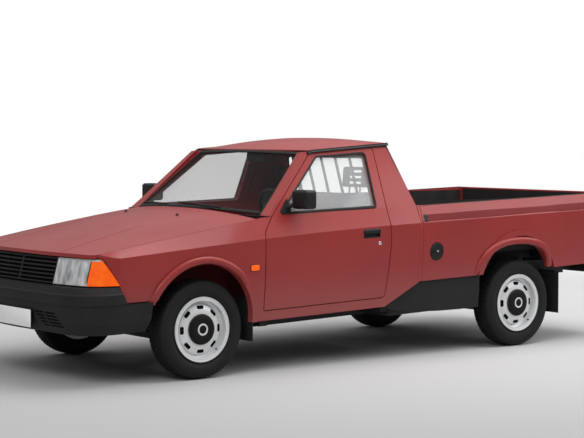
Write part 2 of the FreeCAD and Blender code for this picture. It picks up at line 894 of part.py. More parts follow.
def rear_window_outline():
    half = size("rear_window_half")
    low = size("shoulder_height") + 48
    high = low + size("rear_window_height")
    points = [Vec(-half, 0, low), Vec(half, 0, low), Vec(half - 60, 0, high), Vec(60 - half, 0, high)]
    wire = rounded_wire(points, [45, 45, 45, 45])
    wire.translate(Vec(0, 0, body_lift + rake * size("cab_rear")))
    return Part.Face(wire)


def cab_rear_wall():
    inner = size("cab_inner_half") - fit
    slab = side_prism(rear_wall_outline(), 0, 0, -inner, inner)
    belt = size("shoulder_height")
    top = drip_height(size("cab_rear") - 100)
    upper = size("drip_half") - size("greenhouse_depth") - 3 * fit
    lift = body_lift + rake * (size("cab_rear") - 160)
    bend = belt - 14 + lift
    front = [Vec(-inner, 0, 200), Vec(inner, 0, 200), Vec(inner, 0, bend), Vec(upper, 0, top + lift)]
    front += [Vec(-upper, 0, top + lift), Vec(-inner, 0, bend)]
    outline = Part.Face(Part.makePolygon(front + front[:1])).extrude(Vec(0, 3000, 0))
    slab = slab.common(outline)
    return slab.cut(rear_window_outline().extrude(Vec(0, 3000, 0)))


def rear_glass():
    rear = size("cab_rear")
    belt = size("shoulder_height")
    top = rear - size("rear_lean")
    middle = 18
    gauge = size("glass_gauge")
    points = [(rear - 3 - middle, belt - 10), (top - middle, drip_height(top))]
    points += [(top - middle - gauge, drip_height(top)), (rear - 3 - middle - gauge, belt - 10)]
    slab = side_prism(points, 0, 0, -800, 800)
    window = rear_window_outline().makeOffset2D(-fit)
    return slab.common(window.extrude(Vec(0, 3000, 0)))


def glass_arc(half, station, bow, height, inset):
    rise = size("screen_rise")
    low = height - inset * rise
    left = spot(half, station + inset, low)
    middle = spot(0, station - bow + inset, low + bow * rise)
    right = spot(-half, station + inset, low)
    return Part.Arc(left, middle, right).toShape()


def windscreen():
    """Curved glass between the cowl and the roof, a hair off the pillars."""
    sections = []
    gauge = size("glass_gauge") * 1.4
    for height, bow in ((size("screen_base_height"), size("screen_bow")),
                        (size("screen_top_height"), size("screen_top_bow"))):
        half = pillar_x(height) - fit
        outer = glass_arc(half, screen_station(height), bow, height, 0)
        inner = glass_arc(half, screen_station(height), bow, height, gauge)
        start = outer.valueAt(outer.FirstParameter)
        end = outer.valueAt(outer.LastParameter)
        inner_start = inner.valueAt(inner.FirstParameter)
        inner_end = inner.valueAt(inner.LastParameter)
        edges = [outer, Part.makeLine(end, inner_end), inner, Part.makeLine(inner_start, start)]
        sections.append(Part.Wire(Part.__sortEdges__(edges)))
    return Part.makeLoft(sections, True, True)


def floor_pan():
    inner = size("cab_inner_half") - fit
    low = size("floor_height")
    front = size("firewall_station") + size("firewall_gauge") + 2
    rear = size("cab_rear") - 60 - fit
    points = [(front, low), (rear, low), (rear, low + size("floor_gauge")), (front, low + size("floor_gauge"))]
    slab = side_prism(points, 0, 0, -inner, inner)
    tunnel = side_prism([(front, low), (rear, low), (rear, low + 90),
                         (front, low + size("tunnel_height"))], 0, 0, -size("tunnel_half"), size("tunnel_half"))
    hollow = side_prism([(front - 10, low - 10), (rear + 10, low - 10), (rear + 10, low + 65),
                         (front - 10, low + size("tunnel_height") - 25)], 0, 0,
                        25 - size("tunnel_half"), size("tunnel_half") - 25)
    return slab.fuse(tunnel).cut(hollow)


single("roof_panel", roof_panel())
single("cab_rear_wall", cab_rear_wall())
single("rear_window", rear_glass())
single("windscreen", windscreen())
single("floor_pan", floor_pan())


# Front end: fenders, hood, aprons, cowl, lamps, grille and bumper

def mirrored_spline(points):
    """A smooth line through points of the left side and on through their mirror images."""
    return spline(points + [Vec(-point.x, point.y, point.z) for point in reversed(points[:-1])])


def nose_points(inset):
    """Places along the left half of the truck's front in plan, as (x, u)."""
    front = size("nose_station") + inset
    points = [(half_body - 15, front + 250), (half_body - 55, front + 150), (size("lamp_outer"), front + 92)]
    return points + [(half_body - 245, front + 44), (size("lamp_inner"), front + 15), (0, front)]


def nose_curve(inset, height):
    """The front of the truck in plan, from its left side round to its right side."""
    return mirrored_spline([spot(x, u, height) for x, u in nose_points(inset)])


def nose_block(depth, low, high, low_inset, high_inset):
    """The band between the nose curve and its own copy a depth behind it."""
    sections = []
    for height, inset in ((low, low_inset), (high, high_inset)):
        outer = nose_curve(inset, height)
        inner = nose_curve(inset + depth, height)
        ends = [Part.makeLine(outer.valueAt(outer.LastParameter), inner.valueAt(inner.LastParameter))]
        ends.append(Part.makeLine(inner.valueAt(inner.FirstParameter), outer.valueAt(outer.FirstParameter)))
        sections.append(Part.Wire(Part.__sortEdges__([outer, ends[0], inner, ends[1]])))
    return Part.makeLoft(sections, True, True)


def arch_cylinder(station, radius, inner, outer):
    """The round opening above a wheel, with upright sides below its middle."""
    height = size("hub_datum") + size("arch_rise")
    centre = spot(inner, station, height)
    drum = Part.makeCylinder(radius, outer - inner, centre, Vec(1, 0, 0))
    low = box(inner, outer, station - radius, station + radius, 100, height)
    return drum.fuse(low)


def arch_lip(station, panel_outline, stations):
    """Raised lip along the edge of a wheel opening."""
    ring = arch_cylinder(station, size("arch_radius") + size("arch_lip_width"), 600, 1000)
    band = skin_layer(stations, -10, size("arch_lip"))
    return band.common(ring).common(panel_outline)


def hood_space():
    """Room for the hood between the fenders' top flanges."""
    sections = []
    start = size("nose_station")
    for u in (start - 95, start + 105, start + 405, start + 805, size("hood_rear")):
        half = hood_edge(u) + gap
        low = shoulder_height(u) - size("hood_gauge") - gap
        corners = [(half, low), (half, low + 300), (-half, low + 300), (-half, low)]
        points = [spot(x, u, height) for x, height in corners]
        sections.append(Part.makePolygon(points + points[:1]))
    return Part.makeLoft(sections, True, False)


def fender():
    side = wall(FENDER_STATIONS, depth=size("fender_gauge"))
    outline = side_prism(fender_points, fender_radii)
    side = side.common(outline)
    side = side.fuse(arch_lip(size("front_arch_station"), outline, FENDER_STATIONS))
    side = side.cut(side_prism(door_points, door_radii, gap))
    side = side.cut(arch_cylinder(size("front_arch_station"), size("arch_radius"), 500, 1100))
    side = side.cut(hood_space())
    trim = front_trim(size("nose_top_setback") - 12, size("cab_front") + 160)
    return side.common(trim)


def front_trim(inset, rear):
    """Everything behind the nose curve, as an upright block."""
    left = [Vec(x, u + front_axle_y, 0) for x, u in nose_points(inset)]
    back = rear + front_axle_y
    wide = 1000
    shoulder = left[0].y + 60
    corners = [Vec(-left[0].x, left[0].y, 0), Vec(-wide, shoulder, 0), Vec(-wide, back, 0), Vec(wide, back, 0)]
    corners += [Vec(wide, shoulder, 0), left[0]]
    edges = [mirrored_spline(left)]
    for index in range(len(corners) - 1):
        edges.append(Part.makeLine(corners[index], corners[index + 1]))
    return plan_prism(Part.Wire(edges), -200, 2000)


def hood_edge(u):
    return shoulder_half(u) - size("fender_top_width") - gap


def hood_height(x, u):
    edge = hood_edge(u)
    front = size("nose_station")
    share = min(1, (u - front) / 900)
    crown = size("hood_nose_crown") + (size("hood_crown") - size("hood_nose_crown")) * math.sin(share * math.pi / 2)
    across = min(1, abs(x) / edge)
    return shoulder_height(u) + crown * (1 - across ** 2.2)


def hood_section(u):
    edge = hood_edge(u)
    shares = (1, 0.86, 0.62, 0.32, 0, -0.32, -0.62, -0.86, -1)
    top = [spot(share * edge, u, hood_height(share * edge, u)) for share in shares]
    under = [point - Vec(0, 0, size("hood_gauge")) for point in top]
    edges = [spline(top), Part.makeLine(top[-1], under[-1]), spline(list(reversed(under)))]
    edges.append(Part.makeLine(under[0], top[0]))
    return Part.Wire(edges)


def hood_hinge():
    """Hinge arm under the hood's rear corner, with its barrel on the hinge line."""
    height = shoulder_height(size("hood_rear"))
    station = size("hood_rear") + 10
    middle = size("hood_hinge_half")
    half = size("hood_hinge_width") / 2
    radius = size("hood_barrel_radius")
    arm = box(middle - half, middle + half, station - 100, station, height - radius, height + radius)
    barrel = rod(spot(middle - half - 6, station, height), spot(middle + half + 6, station, height), radius)
    return fused([arm, barrel])


def hood():
    start = size("nose_station")
    rear = size("hood_rear")
    stations = (start - 25, start + 105, start + 305, start + 605, start + 905, rear + 30)
    panel = Part.makeLoft([hood_section(u) for u in stations], True, False)
    panel = panel.common(front_trim(size("nose_top_setback") - 16, rear + 470))
    wide = 900
    edge_y = rear + 14 + front_axle_y
    back = rear + 470 + front_axle_y
    bow_y = rear - size("hood_rear_bow") + front_axle_y
    corners = [Vec(-wide, edge_y, 0), Vec(-wide, back, 0), Vec(wide, back, 0), Vec(wide, edge_y, 0)]
    edges = [Part.Arc(corners[3], Vec(0, bow_y, 0), corners[0]).toShape()]
    for index in range(3):
        edges.append(Part.makeLine(corners[index], corners[index + 1]))
    panel = panel.cut(plan_prism(Part.Wire(edges), 200, 2000))
    hinge = hood_hinge()
    return fused([panel, hinge, mirror_x(hinge)])


def engine_bay():
    """Wheel aprons, firewall, cowl box and the panel that carries the radiator."""
    half = size("apron_half")
    front = size("nose_station") + 105
    wall_front = size("firewall_station")
    wall_rear = wall_front + size("firewall_gauge")
    low = size("sill_height") + 51
    belt = size("shoulder_height")
    lamp_low = size("lamp_bottom")
    support_top = lamp_low - 12
    points = [(front + 10, low), (wall_front - 40, low), (wall_front, low + 250), (wall_front, belt - 50)]
    points += [(-200, belt - 140), (front + 80, belt - 220), (front + 80, support_top), (front + 10, support_top)]
    apron = side_prism(points, 0, 0, half - size("apron_gauge"), half)
    shelf_front = belt - 272
    shelf_rear = belt - 140
    shelf = side_prism([(front + 100, shelf_front), (wall_front - 45, shelf_rear), (wall_front - 45, shelf_rear + 6),
                        (front + 100, shelf_front + 6)], 0, 0, half - 4, half_body - 93)
    side = apron.fuse(shelf)
    wall_half = size("cab_inner_half") - 10
    floor_low = size("floor_height")
    firewall = box(-wall_half, wall_half, wall_front, wall_rear, floor_low, size("cowl_height"))
    tunnel = size("tunnel_half") - 10
    firewall = firewall.cut(box(-tunnel, tunnel, wall_front - 10, wall_rear + 10, floor_low - 10,
                                floor_low + size("tunnel_height") - 20))
    lamp_edge = size("lamp_inner") - 10
    support = box(-half, half, front, front + 10, low, support_top)
    support = support.fuse(box(-lamp_edge, lamp_edge, front, front + 10, lamp_low - 100, lamp_low + 112))
    support = support.cut(box(-280, 280, front - 10, front + 20, low + 40, lamp_low + 90))
    radiator = box(-300, 300, front + 10, front + 60, low + 30, lamp_low + 100)
    beam = box(-half - 160, half + 160, front - 2, front + 28, lamp_low - 45, lamp_low - fit)
    return fused([side, mirror_x(side), firewall, support, radiator, beam])


def cowl_seat():
    """Height of the firewall's top edge over the ground, at its rear face."""
    return size("cowl_height") + body_lift + rake * (size("firewall_station") + size("firewall_gauge"))


def bowed_line(half, station, bow):
    """An arc across the truck in plan, bowed forward at its middle."""
    y = station + front_axle_y
    return Part.Arc(Vec(half, y, 0), Vec(0, y - bow, 0), Vec(-half, y, 0)).toShape()


def cowl():
    base = size("screen_base_station") - 3
    front = size("hood_rear") + 22
    half = half_body - size("shoulder_inset") - size("fender_gauge") - 1
    back_arc = bowed_line(half, base, size("screen_bow"))
    front_arc = bowed_line(half, front, size("hood_rear_bow") + 4)
    left = Part.makeLine(Vec(half, base + front_axle_y, 0), Vec(half, front + front_axle_y, 0))
    right = Part.makeLine(Vec(-half, base + front_axle_y, 0), Vec(-half, front + front_axle_y, 0))
    wire = Part.Wire(Part.__sortEdges__([back_arc, left, front_arc, right]))
    low = cowl_seat() + fit
    panel = plan_prism(wire, low, low + size("cowl_gauge"))
    middle = size("hood_hinge_half")
    reach = size("hood_hinge_width") / 2 + 6 + fit
    height = size("cowl_height")
    slot = box(middle - reach, middle + reach, front - 150, front + 3, height - 55, height + 95)
    corner = size("screen_base_half") - 8
    pillar = box(corner, 900, base - 23, base + 203, height - 105, height + 195)
    for space in (slot, mirror_x(slot), pillar, mirror_x(pillar)):
        panel = panel.cut(space)
    return panel


def nose_space(x0, x1):
    """The space between two upright planes round the truck's front."""
    front = size("nose_station")
    return box(x0, x1, front - 195, front + 405, size("lamp_bottom") - 200, size("lamp_top") + 250)


def lamp_band():
    low = size("lamp_bottom")
    high = size("lamp_top")
    return nose_block(size("lamp_depth"), low, high, 0, size("nose_top_setback"))


def grille():
    half = size("lamp_inner") - fit
    low = size("lamp_bottom")
    high = size("lamp_top")
    band = nose_block(size("grille_depth"), low, high, 6, size("nose_top_setback") + 6)
    frame = band.common(nose_space(-half, half))
    count = int(size("grille_slats"))
    pitch = (high - low - 12) / count
    for index in range(count):
        bottom = low + 9 + pitch * index
        for start, end in ((-half + 12, -8), (8, half - 12)):
            slot = box(start, end, size("nose_station") - 195, 0, bottom, bottom + pitch - 9)
            frame = frame.cut(slot)
    return frame


def headlamps():
    band = lamp_band()
    lamp = band.common(nose_space(size("lamp_inner"), size("lamp_outer")))
    return both_sides(lamp)


def turn_signals():
    band = lamp_band()
    low = size("lamp_bottom")
    high = size("lamp_top")
    front = size("nose_station")
    rear = front + 213
    outline = side_prism([(front - 95, low - 20), (rear, low - 20), (rear, low), (rear - 78, high), (front - 95, high)], 0)
    lamp = band.common(outline).common(nose_space(size("lamp_outer") + fit, half_body + 55))
    repeater_front = size("door_front") - 118
    repeater_low = size("crease_height") - 209
    corners = [(repeater_front, repeater_low), (repeater_front + 58, repeater_low),
               (repeater_front + 58, repeater_low + 35), (repeater_front, repeater_low + 35)]
    repeater = side_prism(corners, 8, 0, 700, 1000)
    shell = skin_layer(FENDER_STATIONS, fit, 8)
    return both_sides(Part.makeCompound([lamp, repeater.common(shell)]))


def bumper_curve(inset, height):
    front = -size("front_overhang") + inset
    points = [(half_body - 2 - inset, front + 516 - inset), (half_body - 13 - inset, front + 260)]
    points += [(half_body - 45 - inset * 0.8, front + 130), (half_body - 145 - inset * 0.5, front + 55)]
    points += [(half_body / 2, front + 16), (0, front)]
    return mirrored_spline([spot(x, u, height) for x, u in points])


def bumper_level(height, inset):
    outer = bumper_curve(inset, height)
    inner = bumper_curve(inset + size("bumper_gauge"), height)
    ends = [Part.makeLine(outer.valueAt(outer.LastParameter), inner.valueAt(inner.LastParameter))]
    ends.append(Part.makeLine(inner.valueAt(inner.FirstParameter), outer.valueAt(outer.FirstParameter)))
    return Part.Wire(Part.__sortEdges__([outer, ends[0], inner, ends[1]]))


def front_bumper():
    top = size("bumper_top")
    low = size("bumper_bottom")
    levels = [(low, 38), (low + 64, 14), (top - 107, 6), (top - 100, 0), (top - 43, 0), (top - 36, 8), (top, 22)]
    parts = []
    for index in range(len(levels) - 1):
        parts.append(Part.makeLoft([bumper_level(*levels[index]), bumper_level(*levels[index + 1])], True, True))
    shell = fused(parts)
    front = -size("front_overhang")
    tip = size("front_arch_station") - size("arch_radius") - 27
    corners = [(front - 134, low - 66), (tip, low - 66), (tip, low + 1), (tip + 26, low + 84), (tip + 32, top - 105)]
    corners += [(front + 320, top - 105), (front + 270, top + 10), (front - 134, top + 10)]
    shell = shell.common(side_prism(corners, 0, 0, -1000, 1000))
    outer = size("frame_half") - 5
    bracket = box(outer - 50, outer, front + 50, size("nose_station") + 105 - fit, low + 64, low + 114)
    return fused([shell, bracket, mirror_x(bracket)])


mirrored_pair("fender", fender())
single("hood", hood())
single("engine_bay", engine_bay())
single("cowl", cowl())
single("grille", grille())
single("headlamps", headlamps())
single("turn_signals", turn_signals())
single("front_bumper", front_bumper())


# Load bed: sides, tub, tailgate and tail lamps

def bed_side_outline():
    low = size("bed_bottom")
    front = size("bed_front")
    rear = size("bed_rear")
    top = size("bed_rail_height")
    return [(front, low), (rear, low), (rear, top), (front, top)], 0


def bed_side():
    points, radii = bed_side_outline()
    side = wall(BED_STATIONS, plane=size("bed_inner_half"))
    outline = side_prism(points, radii)
    side = side.common(outline)
    station = size("wheelbase") + size("rear_arch_offset")
    side = side.fuse(arch_lip(station, outline, BED_STATIONS))
    return side.cut(arch_cylinder(station, size("arch_radius"), 500, 1100))


def bed_tub():
    """Load floor with its headboard and the boxes over the rear wheels."""
    inner = size("bed_inner_half") - fit
    front = size("bed_front")
    rear = size("bed_rear") - size("tailgate_gauge") - 13
    low = size("bed_floor") - size("bed_floor_gauge")
    high = size("bed_floor") - size("bed_rib_rise")
    floor = side_prism([(front, low), (rear - 8, low), (rear - 8, size("bed_bottom")), (rear, size("bed_bottom")),
                        (rear, high), (front, high)], 0, 0, -inner, inner)
    ribs = []
    half_rib = size("bed_rib_width") / 2
    for index in range(-4, 5):
        middle = index * size("bed_rib_pitch")
        ribs.append(box(middle - half_rib, middle + half_rib, front + 70, rear - 20, high - 5, size("bed_floor")))
    floor = floor.fuse(ribs)
    head = box(-inner, inner, front, front + size("headboard_gauge"), low, size("bed_rail_height"))
    tub = floor.fuse(head)
    station = size("wheelbase") + size("rear_arch_offset")
    rise = size("bed_floor") + size("wheel_box_rise")
    half = size("wheel_box_half")
    skin = size("wheel_box_gauge")
    shell = side_prism(wheel_box_outline(station, low, rise, 0), 0, 0, half, inner)
    cave = side_prism(wheel_box_outline(station, low - 10, rise, skin), 0, 0, half + skin, inner + 10)
    return tub.fuse([shell, mirror_x(shell)]).cut(cave).cut(mirror_x(cave))


def wheel_box_outline(station, low, rise, inset):
    reach = size("arch_radius") + 20 - inset
    half = reach - 45
    flat = reach - 125 + inset / 2
    return [(station - reach, low), (station + reach, low), (station + half, rise - 60 - inset * 0.7),
            (station + flat, rise - inset), (station - flat, rise - inset), (station - half, rise - 60 - inset * 0.7)]


def tailgate():
    half = size("bed_inner_half") - gap
    rear = size("bed_rear") - 5
    front = rear - size("tailgate_gauge")
    low = size("bed_floor") + gap - 2
    high = size("bed_rail_height")
    gate = box(-half, half, front, rear, low, high)
    gate = gate.cut(box(90 - half, half - 90, rear - 10, rear + 10, low + 60, high - 71))
    pin_half = size("bed_inner_half") - fit
    pins = rod(spot(-pin_half, rear - 12, low + 12), spot(pin_half, rear - 12, low + 12), size("tailgate_pin_radius"))
    return fused([gate, pins])


def tail_lamps():
    rear = size("bed_rear") + fit
    low = size("bed_floor") + 40
    lamp = box(half_body - 80, half_body - 27, rear, rear + 24, low, low + 230)
    lamp = lamp.makeFillet(8, lamp.Edges)
    return both_sides(lamp)


def rear_bumper():
    rear = size("wheelbase") + size("rear_overhang")
    low = size("bed_bottom") - 102
    half = half_body - 45
    high = low + size("bumper_bar_height")
    bar = box(-half, half, rear - 46, rear - 2, low, high)
    bar = bar.makeFillet(10, [edge for edge in bar.Edges if edge.Length > half])
    step = box(20 - half, half - 20, rear - 46, rear, high - 10, high + 4)
    outer = size("frame_half")
    bracket = box(outer - size("frame_rail_width"), outer, size("frame_end") + fit, rear - 40, low + 20, low + 90)
    bumper = fused([bar, step, bracket, mirror_x(bracket)])
    hole = Part.makeCylinder(size("tow_hole_radius"), 100,
                             spot(size("tow_hole_half_spacing"), rear - 60, low + 60), Vec(0, 1, 0))
    return bumper.cut(hole).cut(mirror_x(hole))


def fuel_cap_disc(radius, inner, outer):
    start = spot(inner, size("fuel_cap_station"), size("fuel_cap_height"))
    return Part.makeCylinder(radius, outer - inner, start, Vec(1, 0, 0))


def fuel_cap():
    """Round filler cap in its recess on the left side of the bed."""
    radius = size("fuel_cap_radius")
    skin_x = half_body - 6
    disc = fuel_cap_disc(radius, skin_x - 14 + fit, skin_x + 4)
    disc = disc.makeFillet(3, [edge for edge in disc.Edges if edge.BoundBox.XMin > skin_x])
    grip = box(skin_x, skin_x + 12, size("fuel_cap_station") - 34, size("fuel_cap_station") + 34,
               size("fuel_cap_height") - 7, size("fuel_cap_height") + 7)
    return disc.fuse(grip)


plain_side = bed_side()
cap_recess = fuel_cap_disc(size("fuel_cap_radius") + 2, half_body - 20, half_body + 30)
single("bed_side_left", plain_side.cut(cap_recess))
single("bed_side_right", mirror_x(plain_side))
single("fuel_cap", fuel_cap())
single("bed_tub", bed_tub())
single("tailgate", tailgate())
single("tail_lamps", tail_lamps())
single("rear_bumper", rear_bumper())


# Chassis: ladder frame, axles, springs, engine, exhaust and tank

def frame_rail():
    low = size("frame_bottom")
    deep = size("frame_rail_height")
    kick = size("frame_kick")
    axle = size("wheelbase")
    nose = size("frame_nose_rise")
    front = size("nose_station") + 155
    line = [(front, low + nose), (front + 290, low + nose), (front + 520, low + 40), (front + 950, low)]
    line += [(axle - 620, low), (axle - 330, low + kick), (axle + 330, low + kick)]
    line.append((size("frame_end"), low + kick - 25))
    upper = [(u, height + deep) for u, height in reversed(line)]
    outer = size("frame_half")
    return side_prism(line + upper, 0, 0, outer - size("frame_rail_width"), outer)


def chassis_frame():
    """Two rails with cross members, and the seats that carry the cab, bed and springs."""
    rail = frame_rail()
    inner = size("frame_half") - size("frame_rail_width") + 2
    outer = size("frame_half")
    low = size("frame_bottom")
    kick = size("frame_kick")
    axle = size("wheelbase")
    front = size("nose_station") + 205
    middle = (axle - size("cab_front")) / 2 + 126
    crossings = [(front, low + size("frame_nose_rise") + 20), (middle, low + 8), (axle - 330, low + kick + 20)]
    crossings += [(axle + 452, low + kick + 20), (size("frame_end") - 40, low + kick + 10)]
    members = [box(-outer, outer, -45, 45, low - 15, low + 60)]
    for station, height in crossings:
        members.append(box(-inner, inner, station - 35, station + 35, height, height + 55))
    cab_half = size("cab_inner_half") - 15
    floor_seat = size("floor_height") - fit
    seats = []
    for station in (size("cab_front") + 120, size("cab_rear") - 200):
        seats.append(box(inner, cab_half, station - 30, station + 30, floor_seat - 60, floor_seat))
    flap = axle + 382
    seats.append(box(inner, half_body - 65, flap, flap + 10 - fit, low + kick + 10, low + kick + 40))
    reach = size("spring_reach")
    spring_outer = size("spring_half") + 35
    seats.append(box(outer - 1, spring_outer, axle - reach - 18, axle - reach - fit, low + 35, low + 97))
    seats.append(box(outer - 1, spring_outer, axle + reach + fit, axle + reach + 16, low + 95, low + 167))
    bed_seat = size("bed_floor") - size("bed_floor_gauge") - fit
    bed = size("bed_front")
    bearers = []
    feet = [(bed + 70, low + 60), (axle - 388, low + 90), (axle + 412, low + kick + 60)]
    feet.append((size("frame_end") - 50, low + kick + 50))
    for station, foot in feet:
        bearers.append(box(-inner - 40, inner + 40, station - 25, station + 25, bed_seat - 30, bed_seat))
        seats.append(box(inner, outer - 4, station - 25, station + 25, foot, bed_seat))
    return fused([rail, mirror_x(rail)] + members + seats + [mirror_x(seat) for seat in seats] + bearers)


def front_suspension():
    """Lower arms from the frame's sides out to the eyes round the knuckles' ball pins."""
    low = HUB_Z + " - 112"
    centre = (KINGPIN_X, FRONT_AXLE_Y, low)
    arm = new_body("lower_arm")
    outline = new_sketch(arm, "lower_arm_outline")
    inner = "Sizes.frame_half + Sizes.fit_gap"
    pin = "2 * Sizes.ball_pin_radius"
    draw_polygon(outline, [(inner, "-95"), (KINGPIN_X, "-" + pin), (KINGPIN_X, pin), (inner, "95")])
    sheet_arm = arm.newObject("PartDesign::Pad", "lower_arm_pad")
    sheet_arm.Profile = outline
    sheet_arm.setExpression("Length", "Sizes.arm_gauge")
    place(arm, "0", FRONT_AXLE_Y, low)
    eye = cylinder("lower_arm_eye", pin, "Sizes.arm_gauge", centre)
    bore = cylinder("lower_arm_bore", "Sizes.ball_pin_radius + Sizes.fit_gap", "Sizes.arm_gauge", centre)
    bored = doc.addObject("Part::Cut", "lower_arm_bored")
    bored.Base = union("lower_arm_whole", [arm, eye])
    bored.Tool = bore
    pair = doc.addObject("Part::Compound", "front_suspension")
    pair.Label = "front_suspension"
    pair.Links = [bored, mirror_image(bored, "lower_arm_right")]
    outputs.append(pair)


def front_knuckles():
    """Uprights with the stub axles that the front wheels turn on, and their mirror image."""
    corner = (KINGPIN_X + " - Sizes.knuckle_width / 2", FRONT_AXLE_Y + " - Sizes.knuckle_depth / 2", HUB_Z + " - 78")
    upright = block("knuckle_upright", "Sizes.knuckle_width", "Sizes.knuckle_depth", "Sizes.knuckle_height", corner)
    stub_length = "Sizes.kingpin_inset + Sizes.disc_face - 2"
    stub = cylinder("knuckle_stub", "Sizes.stub_radius", stub_length, (KINGPIN_X, FRONT_AXLE_Y, HUB_Z), ALONG_X)
    flange = cylinder("knuckle_flange", "Sizes.knuckle_flange_radius", "14",
                      (KINGPIN_X + " + 18", FRONT_AXLE_Y, HUB_Z), ALONG_X)
    arm = block("knuckle_arm", "30", "120", "22", (KINGPIN_X + " - 15", FRONT_AXLE_Y + " + 20", HUB_Z + " - 60"))
    ball_pin = cylinder("knuckle_ball_pin", "Sizes.ball_pin_radius", "60", (KINGPIN_X, FRONT_AXLE_Y, HUB_Z + " - 112"))
    knuckle = union("knuckle_left", [upright, stub, flange, arm, ball_pin])
    outputs.append(knuckle)
    outputs.append(mirror_image(knuckle, "knuckle_right"))


def rear_axle():
    """Live axle: tube, housing in the middle, stub ends and the propeller shaft ahead of it."""
    half = "Sizes.track_rear / 2"
    tube = cylinder("axle_tube", "Sizes.axle_radius", "Sizes.track_rear - 160",
                    ("80 - " + half, REAR_AXLE_Y, HUB_Z), ALONG_X)
    stub = cylinder("axle_stub", "Sizes.stub_radius", "Sizes.track_rear + 2 * Sizes.disc_face - 4",
                    ("2 - Sizes.disc_face - " + half, REAR_AXLE_Y, HUB_Z), ALONG_X)
    housing = new_body("axle_housing")
    profile = new_sketch(housing, "axle_housing_profile")
    side = "Sizes.diff_width / 2"
    flat = side + " - Sizes.diff_chamfer"
    round_radius = "Sizes.diff_radius - Sizes.diff_chamfer"
    draw_polygon(profile, [("-" + side, "0"), (side, "0"), (side, round_radius), (flat, "Sizes.diff_radius"),
                           ("-(%s)" % flat, "Sizes.diff_radius"), ("-" + side, round_radius)])
    revolve(housing, profile)
    place(housing, "0", REAR_AXLE_Y, HUB_Z)
    nose = primitive("Cone", "axle_nose", {"Radius1": "62", "Radius2": "40", "Height": "140"},
                     ("0", REAR_AXLE_Y + " - 80", HUB_Z), FORWARD)
    drum = cylinder("axle_drum", "Sizes.drum_radius", "45", (half + " - 40", REAR_AXLE_Y, HUB_Z), ALONG_X)
    start = Vec(0, front_axle_y + size("wheelbase") - 200, size("tyre_radius"))
    end = spot(0, size("gearbox_end") + 20, size("floor_height") + 2)
    shaft = keep("propeller_shaft", rod(start, end, size("shaft_radius")))
    outputs.append(union("rear_axle", [tube, stub, housing, nose, shaft, drum, mirror_image(drum, "axle_drum_right")]))


def leaf_springs():
    """Curved leaf packs under the frame rails, clamped to the axle."""
    axle = size("wheelbase")
    pieces = []
    tube_bottom = size("tyre_radius") - size("axle_radius") - fit
    reach = size("spring_reach")
    leaf = Vec(0, 0, size("spring_leaf"))
    frame_low = size("frame_bottom")
    front = Vec(0, axle - reach + front_axle_y, frame_low + 125)
    middle = Vec(0, axle + front_axle_y, tube_bottom)
    rear = Vec(0, axle + reach + front_axle_y, frame_low + 215)
    for index in range(3):
        share = 1 - 0.22 * index
        first = middle + (front - middle) * share - leaf * index
        last = middle + (rear - middle) * share - leaf * index
        centre = middle - leaf * index
        top = Part.Arc(first, centre, last).toShape()
        low = Part.Arc(first - leaf, centre - leaf, last - leaf).toShape()
        edges = [top, Part.makeLine(last, last - leaf), low, Part.makeLine(first - leaf, first)]
        face = Part.Face(Part.Wire(Part.__sortEdges__(edges)))
        pieces.append(face.extrude(Vec(size("spring_width"), 0, 0)))
    pack = fused(pieces)
    pack.translate(Vec(size("spring_half") - size("spring_width") / 2, 0, 0))
    return both_sides(pack)


def engine_block():
    """Engine, gearbox and its tail, standing on the front cross member."""
    low = size("floor_height")
    rear = size("firewall_station")
    tail_end = size("gearbox_end")
    block = box(-190, 190, rear - 820, rear - 240, low + 90, size("shoulder_height") - 150)
    gearbox = box(-110, 110, rear - 240, rear - 10, low + 20, low + 250)
    tail = box(-70, 70, rear - 10, tail_end, low - 30, low + 65)
    feet = box(130, 190, -30, 30, size("frame_bottom") + 60 + fit, low + 100)
    return fused([block, gearbox, tail, feet, mirror_x(feet)])


def exhaust():
    """Pipe along the right side with a silencer ahead of the rear axle."""
    x = -size("exhaust_half")
    low = size("frame_bottom") - 19
    axle = size("wheelbase")
    bend = spot(x, size("cab_front") + 200, low)
    front = rod(spot(x, size("cab_front") - 150, low + 114), bend, size("pipe_radius"))
    rear = rod(bend, spot(x, axle - 498, low), size("pipe_radius"))
    silencer = rod(spot(x, axle - 1248, low + 10), spot(x, axle - 768, low + 10), size("silencer_radius"))
    middle = (axle - size("cab_front")) / 2 + 126
    hanger = box(x - 6, x + 6, middle - 6, middle + 6, low + 4, size("frame_bottom") + 8 - fit)
    return fused([front, rear, silencer, hanger])


def fuel_tank():
    rear = size("wheelbase") - 648
    floor = size("floor_height")
    tank = box(size("frame_half") + fit, size("cab_inner_half") - 15, rear - 460, rear, floor - 95, floor - 10)
    return tank.makeFillet(20, tank.Edges)


single("chassis_frame", chassis_frame())
front_suspension()
front_knuckles()
rear_axle()
single("leaf_springs", leaf_springs())
single("engine_block", engine_block())
single("exhaust", exhaust())
single("fuel_tank", fuel_tank())


# Cabin: dashboard, seats, steering wheel and wipers

def dashboard():
    front = size("firewall_station") + size("firewall_gauge") + fit
    top = size("cowl_height") - 5
    points = [(front, top - 340), (front + 160, top - 340), (front + 240, top - 260), (front + 240, top - 40)]
    points += [(front + 180, top), (front + 80, top - 2), (front, top - 12)]
    half = size("cab_inner_half") - 35
    board = side_prism(points, [0, 30, 40, 40, 40, 20, 0], 0, -half, half)
    return board.cut(steering_column(fit))


def steering_column(grow=0):
    """The room that the column needs in the dashboard."""
    length = size("column_length") + 4 * grow
    column = Part.makeCylinder(size("column_radius") + grow, length, Vec(0, 0, -length))
    column.rotate(Vec(0, 0, 0), Vec(1, 0, 0), -size("column_angle"))
    column.translate(spot(size("seat_centre"), size("seat_front") - 55, size("cowl_height") - 5))
    return column


